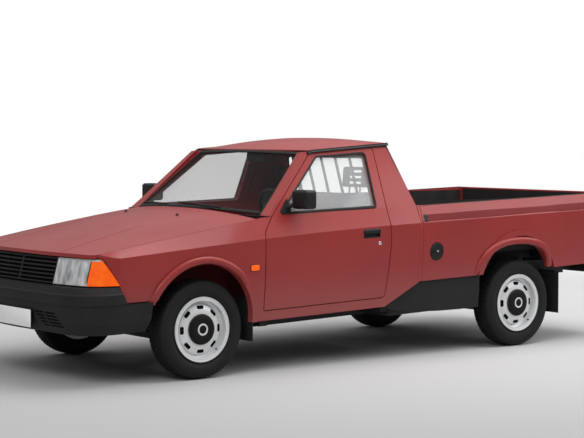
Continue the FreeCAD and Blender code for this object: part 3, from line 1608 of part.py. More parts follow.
def seat(centre):
    """Cushion, back and slotted head rest on a low frame."""
    half = size("seat_half")
    front = size("seat_front")
    low = size("floor_height") + 120
    cushion = side_prism([(front, low), (front + 440, low), (front + 440, low + 90), (front, low + 150)],
                         [30, 10, 30, 45], 0, centre - half, centre + half)
    back = side_prism([(front + 380, low + 70), (front + 500, low + 70), (front + 610, low + 620),
                       (front + 530, low + 620)], [30, 20, 40, 30], 0, centre - half + 10, centre + half - 10)
    head = front + 520
    rest_low = low + 630
    rest = side_prism([(head, rest_low), (head + 75, rest_low), (head + 85, rest_low + 135),
                       (head + 25, rest_low + 135)], [10, 10, 25, 25], 0, centre - 115, centre + 115)
    for index in range(3):
        slot = rest_low + 25 + 32 * index
        rest = rest.cut(box(centre - 80, centre + 80, head - 40, head + 220, slot, slot + 16))
    posts = []
    for offset in (-60, 60):
        posts.append(rod(spot(centre + offset, head + 42, low + 600), spot(centre + offset, head + 44, low + 640), 7))
    floor_top = size("floor_height") + size("floor_gauge") + fit
    frame = box(centre - half + 30, centre + half - 30, front + 30, front + 410, floor_top, low + 5)
    return fused([cushion, back, rest, frame] + posts)


def seats():
    return Part.makeCompound([seat(size("seat_centre")), seat(-size("seat_centre"))])


def steering_wheel():
    """Rim, two spokes, hub and column about an upright axis, then leaned to face the seat."""
    at_centre = ("0", "0", "0")
    ring = primitive("Torus", "steering_ring", {"Radius1": "Sizes.wheel_ring_radius",
                                                "Radius2": "Sizes.wheel_ring_gauge"}, at_centre)
    hub = cylinder("steering_hub", "55", "40", ("0", "0", "-30"))
    spokes = block("steering_spokes", "2 * Sizes.wheel_ring_radius", "40", "12",
                   ("-Sizes.wheel_ring_radius", "-20", "-14"))
    column = cylinder("steering_column", "Sizes.column_radius", "Sizes.column_length - 20",
                      ("0", "0", "-Sizes.column_length"))
    whole = union("steering_wheel", [ring, hub, spokes, column])
    station = "(Sizes.seat_front - 55)"
    whole.Placement.Rotation = FreeCAD.Rotation(Vec(1, 0, 0), -size("column_angle"))
    height = "Sizes.cowl_height - 5 + Sizes.body_rake * %s + Sizes.tyre_radius - Sizes.hub_datum" % station
    place(whole, "Sizes.seat_centre", FRONT_AXLE_Y + " + " + station, height)
    outputs.append(whole)


def glass_point(x, share, proud):
    """A place just ahead of the windscreen, from its foot (share 0) to its top (share 1)."""
    foot_half = size("screen_base_half")
    half = foot_half + share * (size("screen_top_half") - foot_half)
    bow = size("screen_bow") + share * (size("screen_top_bow") - size("screen_bow"))
    base = size("screen_base_station")
    station = base + share * (size("screen_top_station") - base)
    belt = size("screen_base_height")
    height = belt + share * (size("screen_top_height") - belt)
    fullness = bow * (1 - (x / half) ** 2)
    return spot(x, station - fullness - proud, height + fullness * size("screen_rise"))


def wiper(pivot_x, tip_x):
    """Arm on its spindle and a blade parked along the foot of the windscreen."""
    radius = size("wiper_rod")
    seat_z = cowl_seat() + size("cowl_gauge") + 2 * fit
    foot = glass_point(pivot_x, 0, 24)
    spindle = Part.makeCylinder(11, 30, Vec(pivot_x, foot.y, seat_z))
    places = []
    for along, rise in ((0, 0.04), (0.5, 0.06), (1, 0.08)):
        x = pivot_x - 20 + along * (tip_x - pivot_x + 20)
        places.append(glass_point(x, rise, 12))
    path = Part.Wire([Part.Arc(*places).toShape()])
    tangent = path.Edges[0].tangentAt(path.Edges[0].FirstParameter)
    ring = Part.Wire([Part.makeCircle(radius, places[0], tangent)])
    blade = path.makePipe(Part.Face(ring))
    arm = rod(Vec(pivot_x, foot.y, seat_z + 24), places[1], radius - 1)
    return fused([spindle, arm, blade])


def wipers():
    left = size("wiper_pivot")
    right = left - size("wiper_spacing")
    reach = size("wiper_reach")
    return Part.makeCompound([wiper(left, left - reach), wiper(right, right - reach + 50)])


def window_guard():
    """Upright square bars under a rail, leaning with the cab's rear window."""
    head_station = size("cab_rear") - size("rear_lean")
    lean = size("rear_lean") / (drip_height(head_station) - size("shoulder_height"))
    low = size("bed_rail_height") + fit
    top = size("screen_top_height") - 36
    foot = size("bed_front") + 14
    head = foot - lean * (top - low)
    half = size("guard_half")
    post = size("guard_post_radius")
    rail = size("guard_rail_radius")
    bars = [box(-half - post, half + post, head - rail, head + rail, top - 2, top + 20)]
    for index in range(7):
        x = -half + index * half / 3
        radius = post if index in (0, 6) else size("guard_bar_radius")
        corners = [(foot - radius, low), (foot + radius, low), (head + radius, top), (head - radius, top)]
        bars.append(side_prism(corners, 0, 0, x - radius, x + radius))
    return fused(bars)


def mudflaps():
    """Flaps behind the wheels: one flat sheet each."""
    inner = half_body - 220
    front = size("cab_front") - 38
    sill = size("sill_height")
    ahead = box(inner, half_body - 88, front, front + 6, sill - 119, sill + 156)
    ahead = ahead.fuse(box(inner, half_body - 45, front, front + 6, sill - 119, sill - fit))
    rear = size("wheelbase") + 392
    behind = box(inner, half_body - 55, rear, rear + 6, 110, size("frame_bottom") + size("frame_kick") + 40)
    return Part.makeCompound([both_sides(ahead), both_sides(behind)])


single("dashboard", dashboard())
single("seats", seats())
steering_wheel()
single("window_guard", window_guard())
single("wipers", wipers())
single("mudflaps", mudflaps())


# Checks on every object, then one file for each sub-part

doc.recompute()
for item in doc.Objects:
    if "Invalid" in item.State or "Error" in item.State:
        raise RuntimeError("object did not build: " + item.Label)
for part in outputs:
    if part.Shape.isNull() or not part.Shape.isValid():
        raise RuntimeError("shape is not sound: " + part.Label)

os.makedirs("parts", exist_ok=True)
for part in outputs:
    part.Shape.exportStep(os.path.join("parts", part.Label + ".step"))
print("sub-parts written:", len(outputs))
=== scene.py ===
import math

import bmesh
import bpy
from mathutils import Matrix, Vector
from mathutils.bvhtree import BVHTree


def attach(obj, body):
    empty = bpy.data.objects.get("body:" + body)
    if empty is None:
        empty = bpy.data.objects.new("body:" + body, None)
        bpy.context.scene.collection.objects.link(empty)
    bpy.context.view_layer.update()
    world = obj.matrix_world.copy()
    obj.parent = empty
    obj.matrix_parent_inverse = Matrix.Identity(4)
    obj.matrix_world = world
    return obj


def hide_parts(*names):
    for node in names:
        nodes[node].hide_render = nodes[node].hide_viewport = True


# Pickup truck with a single cab and an open load bed: finishes, trim, lamps, wheels,
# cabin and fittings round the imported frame. Metres. The truck faces -Y and its left is +X.

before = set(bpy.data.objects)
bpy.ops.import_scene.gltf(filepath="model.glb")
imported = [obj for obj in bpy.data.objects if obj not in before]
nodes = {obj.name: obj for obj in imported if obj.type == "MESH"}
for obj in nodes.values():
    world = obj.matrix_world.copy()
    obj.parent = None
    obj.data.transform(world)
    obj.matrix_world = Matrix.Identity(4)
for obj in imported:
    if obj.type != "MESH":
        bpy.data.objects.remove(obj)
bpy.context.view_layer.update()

# Sizes that the pieces share, in millimetres

FRONT_AXLE_Y = -1387
RAKE = 0.027
BODY_LIFT = 12
HALF_BODY = 845
WHEELBASE = 2648
TRACK_HALF_FRONT = 718
TRACK_HALF_REAR = 714
HUB_HEIGHT = 300
SILL_HEIGHT = 279
SILL_TUCK = 45
DRIP_HALF = 620
SIDES = (("left", 1), ("right", -1))


def place(x, u, height):
    """A point in metres, from a distance off the middle, a station and a height in millimetres."""
    return Vector((x, u + FRONT_AXLE_Y, height + RAKE * u + BODY_LIFT)) / 1000


# The body's surface: u is a station behind the front axle, and heights follow the body's rake

def half_width(u):
    nose = max(0, 100 - u) / 800
    tail = max(0, u - 3000) / 580
    return HALF_BODY - 45 * nose ** 2 - 20 * tail ** 2


def crease_height(u):
    ahead = max(0, 1420 - u) / 2070
    return 826 - 74 * ahead ** 1.7


def shoulder_height(u):
    ahead = max(0, 600 - u) / 1287
    return 940 - 159 * ahead ** 1.15


def shoulder_half(u):
    return half_width(u) - (45 if u > 1700 else 57)


def drip_height(u):
    return 1328 + 0.041 * (u - 1276)


def side_x(u, height):
    """Half width of the body's outer skin at a station and height."""
    widest = half_width(u)
    crease = crease_height(u)
    shoulder = shoulder_height(u)
    if height < crease:
        share = (height - SILL_HEIGHT) / (crease - SILL_HEIGHT)
        return widest - SILL_TUCK * (1 - share) ** 2
    if height < shoulder:
        share = (height - crease) / (shoulder - crease)
        return widest + share * (shoulder_half(u) - widest)
    share = (height - shoulder) / (drip_height(u) - shoulder)
    return shoulder_half(u) + share * (DRIP_HALF - shoulder_half(u))


def body_bottom(u):
    """The painted side's lower edge, which steps up behind the cab."""
    return 330 + 110 * min(1, max(0, (u - 1420) / 280))


def rear_wall(height):
    """Station of the cab's leaning rear wall."""
    return 1697 - (height - 930) * 111 / 411


def skin(u, height, proud=0, side=1):
    """Point on the body side, standing proud of the skin by a distance."""
    return place(side * (side_x(u, height) + proud), u, height)


# Materials

# A pale brown that the paint is blended towards low down
LOW_TINT_COLOUR = (0.33, 0.22, 0.2, 1)


def shader(name):
    material = bpy.data.materials.new(name)
    material.use_nodes = True
    tree = material.node_tree
    return material, tree, tree.nodes["Principled BSDF"]


def set_inputs(node, **values):
    for name, value in values.items():
        node.inputs[name.replace("_", " ")].default_value = value


def add_node(tree, kind, operation=None, **values):
    """A shader node whose inputs are set by their names."""
    node = tree.nodes.new("ShaderNode" + kind)
    if operation:
        node.operation = operation
    set_inputs(node, **values)
    return node


def joined(tree, kind, operation, output, *sources):
    """The output of a node whose first inputs are sockets or numbers."""
    node = add_node(tree, kind, operation)
    for socket, source in zip(node.inputs, sources):
        if isinstance(source, float):
            socket.default_value = source
        else:
            tree.links.new(source, socket)
    return node.outputs[output]


def noise(tree, scale, detail=4, stretch=(1, 1, 1)):
    coordinates = add_node(tree, "TexCoord")
    mapping = add_node(tree, "Mapping", Scale=stretch)
    texture = add_node(tree, "TexNoise", Scale=scale, Detail=detail)
    tree.links.new(coordinates.outputs["Object"], mapping.inputs["Vector"])
    tree.links.new(mapping.outputs["Vector"], texture.inputs["Vector"])
    return texture.outputs["Fac"]


def ramp(tree, factor, stops):
    """Colours or grey values placed along a factor."""
    node = add_node(tree, "ValToRGB")
    elements = node.color_ramp.elements
    while len(elements) < len(stops):
        elements.new(0.5)
    for element, (position, colour) in zip(elements, stops):
        if isinstance(colour, (int, float)):
            colour = (colour, colour, colour)
        element.position = position
        element.color = (*colour, 1)
    tree.links.new(factor, node.inputs["Fac"])
    return node.outputs["Color"]


def bump(tree, surface, factor, strength, distance):
    node = add_node(tree, "Bump", Strength=strength, Distance=distance)
    tree.links.new(factor, node.inputs["Height"])
    tree.links.new(node.outputs["Normal"], surface.inputs["Normal"])


def finish_of(name, dark, light, rough, metallic=0.0, scale=8, grain=400, grain_height=0.0002,
              grain_strength=0.2, shine=0.25, drift=(1, 1, 1)):
    """A surface whose colour and roughness wander slowly, with a fine grain on it."""
    material, tree, surface = shader(name)
    slow = noise(tree, scale, 4, drift)
    tree.links.new(ramp(tree, slow, [(0.3, dark), (0.7, light)]), surface.inputs["Base Color"])
    tree.links.new(ramp(tree, slow, [(0.3, rough[0]), (0.7, rough[1])]), surface.inputs["Roughness"])
    set_inputs(surface, Metallic=metallic, Specular_IOR_Level=shine)
    bump(tree, surface, noise(tree, grain, 3), grain_strength, grain_height)
    return material


def body_paint(name, colour, low_tint, coat=0.24, shine=0.18):
    """Coated paint, paler and browner low down, with a faint unevenness in its shine."""
    material, tree, surface = shader(name)
    link = tree.links.new
    coordinates = add_node(tree, "TexCoord")
    parts = add_node(tree, "SeparateXYZ")
    link(coordinates.outputs["Object"], parts.inputs["Vector"])
    level = add_node(tree, "MapRange", From_Min=0.25, From_Max=0.62, To_Min=low_tint, To_Max=0.0)
    link(parts.outputs["Z"], level.inputs["Value"])
    darker = [channel * 0.94 for channel in colour]
    lighter = [channel * 1.05 for channel in colour]
    mix = add_node(tree, "Mix")
    mix.data_type = "RGBA"
    set_inputs(mix, B=LOW_TINT_COLOUR)
    link(level.outputs["Result"], mix.inputs["Factor"])
    link(ramp(tree, noise(tree, 2.2, 6), [(0.35, darker), (0.65, lighter)]), mix.inputs["A"])
    link(mix.outputs["Result"], surface.inputs["Base Color"])
    link(ramp(tree, noise(tree, 3.5, 5), [(0.3, 0.34), (0.7, 0.42)]), surface.inputs["Roughness"])
    set_inputs(surface, Coat_Weight=coat, Coat_Roughness=0.13, Specular_IOR_Level=shine)
    bump(tree, surface, noise(tree, 900, 2), 0.03, 0.0002)
    return material


def clear_glass(name, tint, haze, middle, rim):
    """Thin glass: mostly see-through, and shinier towards a grazing view."""
    material, tree, surface = shader(name)
    edge = add_node(tree, "LayerWeight", Blend=0.35)
    amount = ramp(tree, edge.outputs["Facing"], [(0.0, haze), (0.6, middle), (1.0, rim)])
    tree.links.new(amount, surface.inputs["Alpha"])
    darker = [channel * 0.9 for channel in tint]
    tree.links.new(ramp(tree, noise(tree, 3, 3), [(0.3, darker), (0.7, tint)]), surface.inputs["Base Color"])
    set_inputs(surface, Roughness=0.04, Specular_IOR_Level=0.5)
    return material


PAINT = body_paint("red_paint", (0.29, 0.032, 0.030), 0.25)
# Darker red: painted shade of the steeper facet above the crease on the bed's sides
PAINT_SHADED_BAND = body_paint("red_paint_shaded_band", (0.17, 0.02, 0.021), 0.05, 0.02, 0.05)
# The body paint made darker for the engine bay: painted shade inside it
PAINT_SHADED = body_paint("red_paint_shaded_inner", (0.17, 0.022, 0.021), 0.1)
PLASTIC = finish_of("black_plastic", (0.008, 0.008, 0.0085), (0.014, 0.014, 0.0145), (0.42, 0.52), grain=700)
GRAINED = finish_of("grained_plastic", (0.010, 0.010, 0.0105), (0.016, 0.016, 0.0165), (0.55, 0.68),
                    grain=520, grain_height=0.0004, grain_strength=0.35)
RUBBER = finish_of("rubber", (0.012, 0.012, 0.012), (0.02, 0.02, 0.02), (0.6, 0.75), grain=260)
TYRE = finish_of("tyre_rubber", (0.006, 0.0065, 0.0075), (0.012, 0.0125, 0.014), (0.62, 0.8),
                 grain=180, grain_height=0.0005)
SILVER = finish_of("wheel_silver", (0.66, 0.67, 0.68), (0.76, 0.77, 0.78), (0.34, 0.44), 0.3, 6, 900,
                   shine=0.5)
CHASSIS = finish_of("chassis_black", (0.015, 0.015, 0.015), (0.035, 0.032, 0.03), (0.5, 0.75), 0.0, 5, 120,
                    0.0006)
CASTING = finish_of("cast_metal", (0.05, 0.048, 0.046), (0.1, 0.095, 0.09), (0.5, 0.7), 0.6, 10, 90, 0.0008)
EXHAUST = finish_of("exhaust_metal", (0.14, 0.12, 0.1), (0.26, 0.24, 0.22), (0.4, 0.6), 0.8, 6, 150)
CHROME = finish_of("bright_metal", (0.6, 0.6, 0.61), (0.72, 0.72, 0.73), (0.12, 0.2), 1.0, 12, 800)
PLATE = finish_of("blank_plate", (0.92, 0.92, 0.91), (0.96, 0.96, 0.95), (0.35, 0.45), 0.0, 5, 600)
FABRIC = finish_of("seat_fabric", (0.035, 0.035, 0.038), (0.065, 0.065, 0.07), (0.85, 0.95), 0.0, 30, 1200,
                   0.0012, 0.6)
TRIM = finish_of("trim_plastic", (0.03, 0.03, 0.032), (0.045, 0.045, 0.048), (0.6, 0.72), 0.0, 6, 500,
                 0.0004, 0.4)
GLASS = clear_glass("side_glass", (0.78, 0.80, 0.81), 0.24, 0.3, 0.8)
REAR_GLASS = clear_glass("rear_glass", (0.4, 0.42, 0.43), 0.03, 0.06, 0.5)
SCREEN = clear_glass("screen_glass", (0.10, 0.101, 0.103), 0.03, 0.07, 0.6)
# Near-black on the bed: a black liner, and painted shade over the inner walls
LINER_AND_SHADE = finish_of("bed_liner_and_shade", (0.010, 0.009, 0.009), (0.02, 0.017, 0.016), (0.6, 0.8), 0.0, 7, 300, 0.0005)
CAP_BLACK = finish_of("cap_black", (0.006, 0.006, 0.0065), (0.011, 0.011, 0.0115), (0.45, 0.55),
                      grain=500, shine=0.12)
# Near-black, for real black parts and for painted shade in slots and openings
DARK = finish_of("deep_black", (0.003, 0.003, 0.003), (0.006, 0.006, 0.006), (0.5, 0.7),
                 grain=500, shine=0.03)
AMBER = finish_of("amber_lens", (0.80, 0.085, 0.004), (1.0, 0.16, 0.008), (0.12, 0.2), 0.0, 22, 300,
                  shine=0.3)
set_inputs(AMBER.node_tree.nodes["Principled BSDF"],
           Emission_Color=(1.0, 0.1, 0.002, 1), Emission_Strength=0.22)
RED_LENS = finish_of("red_lens", (0.32, 0.008, 0.008), (0.45, 0.015, 0.015), (0.12, 0.2), 0.0, 12, 300)
# Grey to near-white upright streaks on the headlamp lenses are painted reflections
BRIGHT_LENS = finish_of("bright_lens", (0.20, 0.21, 0.22), (0.72, 0.73, 0.74), (0.06, 0.14), 0.0, 34, 200,
                        shine=0.6, drift=(1, 1, 0.16))
LAMP_GLASS = finish_of("lamp_glass", (0.55, 0.56, 0.58), (0.68, 0.69, 0.71), (0.06, 0.14), 0.3, 14, 200)

FINISHES = (
    (PAINT, "cab_side_left cab_side_right roof_panel cab_rear_wall fender_left fender_right bed_side_left "
            "bed_side_right hood door_left door_right tailgate"),
    (PAINT_SHADED, "engine_bay"), (SCREEN, "windscreen"), (REAR_GLASS, "rear_window"),
    (GLASS, "door_glass_left door_glass_right"), (LAMP_GLASS, "headlamps"), (AMBER, "turn_signals"),
    (RED_LENS, "tail_lamps"), (LINER_AND_SHADE, "bed_tub"), (EXHAUST, "exhaust"), (TRIM, "dashboard"),
    (FABRIC, "seats"), (RUBBER, "mudflaps"), (GRAINED, "front_bumper rear_bumper"),
    (PLASTIC, "cowl grille wipers fuel_cap mirror_left mirror_right steering_wheel"),
    (CHASSIS, "floor_pan window_guard chassis_frame front_suspension rear_axle leaf_springs fuel_tank"),
    (CASTING, "engine_block knuckle_left knuckle_right"),
    (TYRE, "tyre_front_left tyre_front_right tyre_rear_left tyre_rear_right"),
    (SILVER, "wheel_front_left wheel_front_right wheel_rear_left wheel_rear_right"),
)
NODE_FINISH = {name: finish for finish, names in FINISHES for name in names.split()}
for name, node in nodes.items():
    node.data.materials.clear()
    node.data.materials.append(NODE_FINISH[name])


# Floor, light and camera

ACROSS_VIEW = (-0.79, 0.61, 0)
# Greys of the floor's painted shade, darkest on the camera's side
FLOOR_SHADE_GREYS = [(0.0, 0.41), (0.5, 0.53), (1.0, 0.72)]
SKY_GREYS = [(0.0, 0.12), (0.2, 0.32), (0.5, 0.95), (1.0, 0.85)]
CAMERA_PLACE = (9.191, -7.157, 1.484)
CAMERA_YAW = math.radians(142.5)
CAMERA_PITCH = math.radians(2.94)
CAMERA_LENS = 105.5


def studio_floor():
    """A wide pale floor, darker towards the camera's side by painted shade, that fades to white far off and
    keeps the truck's shadow.
    """
    mesh = bpy.data.meshes.new("studio_floor")
    reach = 60
    corners = [(-reach, -reach, 0), (reach, -reach, 0), (reach, reach, 0), (-reach, reach, 0)]
    mesh.from_pydata(corners, [], [(0, 1, 2, 3)])
    floor = bpy.data.objects.new("studio_floor", mesh)
    bpy.context.scene.collection.objects.link(floor)
    material, tree, surface = shader("studio_floor")
    link = tree.links.new
    set_inputs(surface, Roughness=0.9, Specular_IOR_Level=0.1)
    geometry = add_node(tree, "TexCoord")
    along = add_node(tree, "VectorMath", "DOT_PRODUCT")
    along.inputs[1].default_value = ACROSS_VIEW
    link(geometry.outputs["Object"], along.inputs[0])
    # Painted shade: the floor darkens towards the camera's side, across the view
    shade_share = add_node(tree, "MapRange", From_Min=-3.5, From_Max=4.0)
    link(along.outputs["Value"], shade_share.inputs["Value"])
    link(ramp(tree, shade_share.outputs["Result"], FLOOR_SHADE_GREYS), surface.inputs["Base Color"])
    away = add_node(tree, "VectorMath", "LENGTH")
    link(geometry.outputs["Object"], away.inputs[0])
    far = add_node(tree, "MapRange", From_Min=3.0, From_Max=10.0)
    far.interpolation_type = "SMOOTHSTEP"
    link(away.outputs["Value"], far.inputs["Value"])
    direct = add_node(tree, "LightPath").outputs["Is Camera Ray"]
    seen = joined(tree, "Math", "MULTIPLY", "Value", direct, far.outputs["Result"])
    white = add_node(tree, "Emission").outputs["Emission"]
    blend = joined(tree, "MixShader", None, "Shader", seen, surface.outputs["BSDF"], white)
    link(blend, tree.nodes["Material Output"].inputs["Surface"])
    mesh.materials.append(material)


def studio_world():
    """White to the eye and through glass, dim in gloss, and a soft grey light from all round."""
    world = bpy.data.worlds.new("studio")
    bpy.context.scene.world = world
    world.use_nodes = True
    tree = world.node_tree
    tree.nodes.clear()
    rays = add_node(tree, "LightPath").outputs
    direct = joined(tree, "Math", "MAXIMUM", "Value", rays["Is Camera Ray"], rays["Is Transmission Ray"])
    gloss = joined(tree, "Math", "MULTIPLY", "Value", rays["Is Glossy Ray"], 0.1)
    either = joined(tree, "Math", "MAXIMUM", "Value", direct, gloss)
    ambient = add_node(tree, "Background", Strength=0.68)
    seen = add_node(tree, "Background", Color=(1, 1, 1, 1))
    height = joined(tree, "SeparateXYZ", None, "Z", add_node(tree, "TexCoord").outputs["Generated"])
    tree.links.new(ramp(tree, height, SKY_GREYS), ambient.inputs["Color"])
    lights = [node.outputs["Background"] for node in (ambient, seen)]
    mix = joined(tree, "MixShader", None, "Shader", either, *lights)
    tree.links.new(mix, add_node(tree, "OutputWorld").inputs["Surface"])


def softbox(name, position, target, size_x, size_y, power):
    light = bpy.data.lights.new(name, "AREA")
    light.shape = "RECTANGLE"
    light.size = size_x
    light.size_y = size_y
    light.energy = power
    lamp = bpy.data.objects.new(name, light)
    lamp.location = position
    aim = Vector(target) - Vector(position)
    lamp.rotation_euler = aim.to_track_quat("-Z", "Y").to_euler()
    bpy.context.scene.collection.objects.link(lamp)


def studio_camera():
    camera = bpy.data.cameras.new("photo_angle")
    camera.sensor_width = 36
    camera.lens = CAMERA_LENS
    camera.clip_end = 200
    holder = bpy.data.objects.new("photo_angle", camera)
    holder.location = CAMERA_PLACE
    level = math.cos(CAMERA_PITCH)
    aim = Vector((level * math.cos(CAMERA_YAW), level * math.sin(CAMERA_YAW), -math.sin(CAMERA_PITCH)))
    holder.rotation_euler = aim.to_track_quat("-Z", "Y").to_euler()
    bpy.context.scene.collection.objects.link(holder)
    bpy.context.scene.camera = holder


studio_floor()
studio_world()
softbox("ceiling", (1.2, 1.2, 5.4), (0.2, -0.2, 0.5), 5, 4, 262)
softbox("front_key", (4.6, -6.6, 5.6), (0, -0.5, 0.6), 4, 3, 210)
softbox("rear_side", (4.6, 6.2, 4.6), (0.3, 0.0, 0.8), 6, 2.4, 170)
studio_camera()
bpy.context.scene.view_settings.view_transform = "Standard"

# Mesh helpers

def add_piece(name, points, faces, material, body="root", crease=35):
    """A mesh piece that rides on a body, smooth but for edges sharper than the crease angle."""
    mesh = bpy.data.meshes.new(name)
    mesh.from_pydata([tuple(point) for point in points], [], faces)
    work = bmesh.new()
    work.from_mesh(mesh)
    bmesh.ops.remove_doubles(work, verts=work.verts, dist=0.00001)
    bmesh.ops.recalc_face_normals(work, faces=work.faces)
    work.to_mesh(mesh)
    work.free()
    mesh.shade_smooth()
    mesh.set_sharp_from_angle(angle=math.radians(crease))
    mesh.materials.append(material)
    piece = bpy.data.objects.new(name, mesh)
    bpy.context.scene.collection.objects.link(piece)
    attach(piece, body)
    return piece


def loft(name, rings, material, body="root", closed=False, capped=True, crease=35):
    """A skin over rings that all have the same number of points."""
    count = len(rings[0])
    points = [point for ring in rings for point in ring]
    faces = []
    last = len(rings) if closed else len(rings) - 1
    for row in range(last):
        a = row * count
        b = ((row + 1) % len(rings)) * count
        for column in range(count):
            after = (column + 1) % count
            faces.append((a + column, a + after, b + after, b + column))
    if capped and not closed:
        faces.append(tuple(range(count)))
        faces.append(tuple(range((len(rings) - 1) * count, len(rings) * count)))
    return add_piece(name, points, faces, material, body, crease)


STRIP_SECTION = [(-0.5, -0.4), (-0.5, 0.45), (-0.36, 0.85), (0, 1), (0.36, 0.85), (0.5, 0.45), (0.5, -0.4)]


def run_at(path, index, closed):
    """The way that a path runs at one of its places."""
    last = len(path) - 1
    if closed:
        return path[(index + 1) % len(path)] - path[index - 1]
    return path[min(index + 1, last)] - path[max(index - 1, 0)]


def strip(name, path, normals, width, rise, material, body="root", closed=False, section=STRIP_SECTION):
    """A moulded strip along a path: a width across the surface and a rise out of it, in millimetres."""
    rings = []
    for index, point in enumerate(path):
        across = normals[index].cross(run_at(path, index, closed)).normalized() * width / 1000
        out = normals[index].normalized() * rise / 1000
        rings.append([point + across * s + out * t for s, t in section])
    return loft(name, rings, material, body, closed)


def turned_faces(count, steps):
    """Faces of a turned sheet whose profile has a number of points."""
    faces = []
    for step in range(steps):
        a = step * count
        b = (step + 1) % steps * count
        faces += [(a + index, a + index + 1, b + index + 1, b + index) for index in range(count - 1)]
    return faces


def lathe(name, profile, centre, axis, material, body="root", steps=64):
    """A turned piece: (radius, distance along the axis) pairs in millimetres."""
    axis = Vector(axis).normalized()
    first = axis.orthogonal().normalized()
    second = axis.cross(first)
    points = []
    for step in range(steps):
        angle = 2 * math.pi * step / steps
        spoke = first * math.cos(angle) + second * math.sin(angle)
        points += [centre + (spoke * radius + axis * along) / 1000 for radius, along in profile]
    return add_piece(name, points, turned_faces(len(profile), steps), material, body)


def tube(name, path, radius, material, sides=12):
    """A round bar along a path; the radius is in millimetres."""
    rings = []
    for index in range(len(path)):
        run = run_at(path, index, False)
        across = run.cross(Vector((0, 0, 1)))
        if across.length < 0.0001:
            across = run.orthogonal()
        across.normalize()
        other = run.cross(across).normalized()
        ring = []
        for side in range(sides):
            angle = 2 * math.pi * side / sides
            ring.append(path[index] + (across * math.cos(angle) + other * math.sin(angle)) * radius / 1000)
        rings.append(ring)
    return loft(name, rings, material)


def rounded_loop(corners, radii, steps=6):
    """Points round a flat outline whose corners are rounded."""
    loop = []
    for index, corner in enumerate(corners):
        corner = Vector(corner)
        before = Vector(corners[index - 1]) - corner
        after = Vector(corners[(index + 1) % len(corners)]) - corner
        reach = radii[index] / math.tan(before.angle(after) / 2)
        start = corner + before.normalized() * reach
        end = corner + after.normalized() * reach
        for step in range(steps + 1):
            share = step / steps
            loop.append(start * (1 - share) ** 2 + corner * 2 * share * (1 - share) + end * share ** 2)
    return loop


def spread(loop, step):
    """The same closed loop with extra points along its long runs."""
    full = []
    for index, point in enumerate(loop):
        following = loop[(index + 1) % len(loop)]
        pieces = max(1, int((following - point).length / step))
        for share in range(pieces):
            full.append(point.lerp(following, share / pieces))
    return full


def skin_normal(u, height, side=1):
    up = skin(u, height + 2, 0, side) - skin(u, height - 2, 0, side)
    along = skin(u + 2, height, 0, side) - skin(u - 2, height, 0, side)
    normal = along.cross(up)
    if normal.x * side < 0:
        normal.negate()
    return normal.normalized()


def shares(columns, rows):
    """Shares across and up of a sheet's points, row by row."""
    return [(column / columns, row / rows) for row in range(rows + 1) for column in range(columns + 1)]


def grid_faces(columns, rows):
    """Faces of a sheet whose points run row by row."""
    width = columns + 1
    starts = [row * width + column for row in range(rows) for column in range(columns)]
    return [(a, a + 1, a + width + 1, a + width) for a in starts]


def grid_border(columns, rows):
    """The points round a sheet's border."""
    width = columns + 1
    border = list(range(width)) + [row * width + columns for row in range(1, rows + 1)]
    border += [rows * width + column for column in range(columns - 1, -1, -1)]
    return border + [row * width for row in range(rows - 1, 0, -1)]


def hem(points, columns, rows, reach):
    """Turn a sheet's border back by a reach: adds the points, and gives all faces and the new points."""
    faces = grid_faces(columns, rows)
    border = grid_border(columns, rows)
    base = len(points)
    points += [points[index] + reach for index in border]
    for step, index in enumerate(border):
        after = (step + 1) % len(border)
        faces.append((index, border[after], base + after, base + step))
    return faces, tuple(range(base, len(points)))


def shell_faces(columns, rows):
    """Faces of a closed plate: a front, a back with the same points after it, and the rim between."""
    front = grid_faces(columns, rows)
    back = (columns + 1) * (rows + 1)
    border = grid_border(columns, rows)
    faces = front + [tuple(back + index for index in reversed(face)) for face in front]
    for first, after in zip(border, border[1:] + border[:1]):
        faces.append((first, after, back + after, back + first))
    return faces


def relief(name, outline, material, body, side, proud, columns, rows):
    """A patch of the body side that stands proud by a rule of the shares across and up."""
    u0, u1, low, high = outline
    points = []
    for s, t in shares(columns, rows):
        u = u0 + (u1 - u0) * s
        bottom = low(u) if callable(low) else low
        points.append(skin(u, bottom * (1 - t) + high * t, proud(s, t), side))
    faces, _ = hem(points, columns, rows, Vector((-side * 0.006, 0, 0)))
    return add_piece(name, points, faces, material, body)


# The windscreen's half width, bow, station and height at its foot and at its top, in millimetres

SCREEN_FOOT = (700, 105, 515, 946)
SCREEN_TOP = (560, 55, 925, 1306)


def glass_point(x, share, proud=0):
    """A place on the windscreen's outer face, from its foot (share 0) to its top (share 1)."""
    half, bow, station, height = [foot + share * (top - foot) for foot, top in zip(SCREEN_FOOT, SCREEN_TOP)]
    fullness = bow * (1 - (x / half) ** 2)
    return place(x, station - fullness - proud, height + 0.25 * fullness + proud * 0.8)


def glass_normal(x, share):
    up = glass_point(x, share + 0.02) - glass_point(x, share - 0.02)
    along = glass_point(x + 4, share) - glass_point(x - 4, share)
    normal = along.cross(up).normalized()
    return -normal if normal.y > 0 else normal


# Seals, rails and trim of the cab

def skin_strip(name, line, proud, side, width, rise, body, closed=False):
    """A rubber strip along stations and heights of the body side."""
    path = [skin(u, height, proud, side) for u, height in line]
    normals = [skin_normal(u, height, side) for u, height in line]
    strip(name, path, normals, width, rise, RUBBER, body, closed)


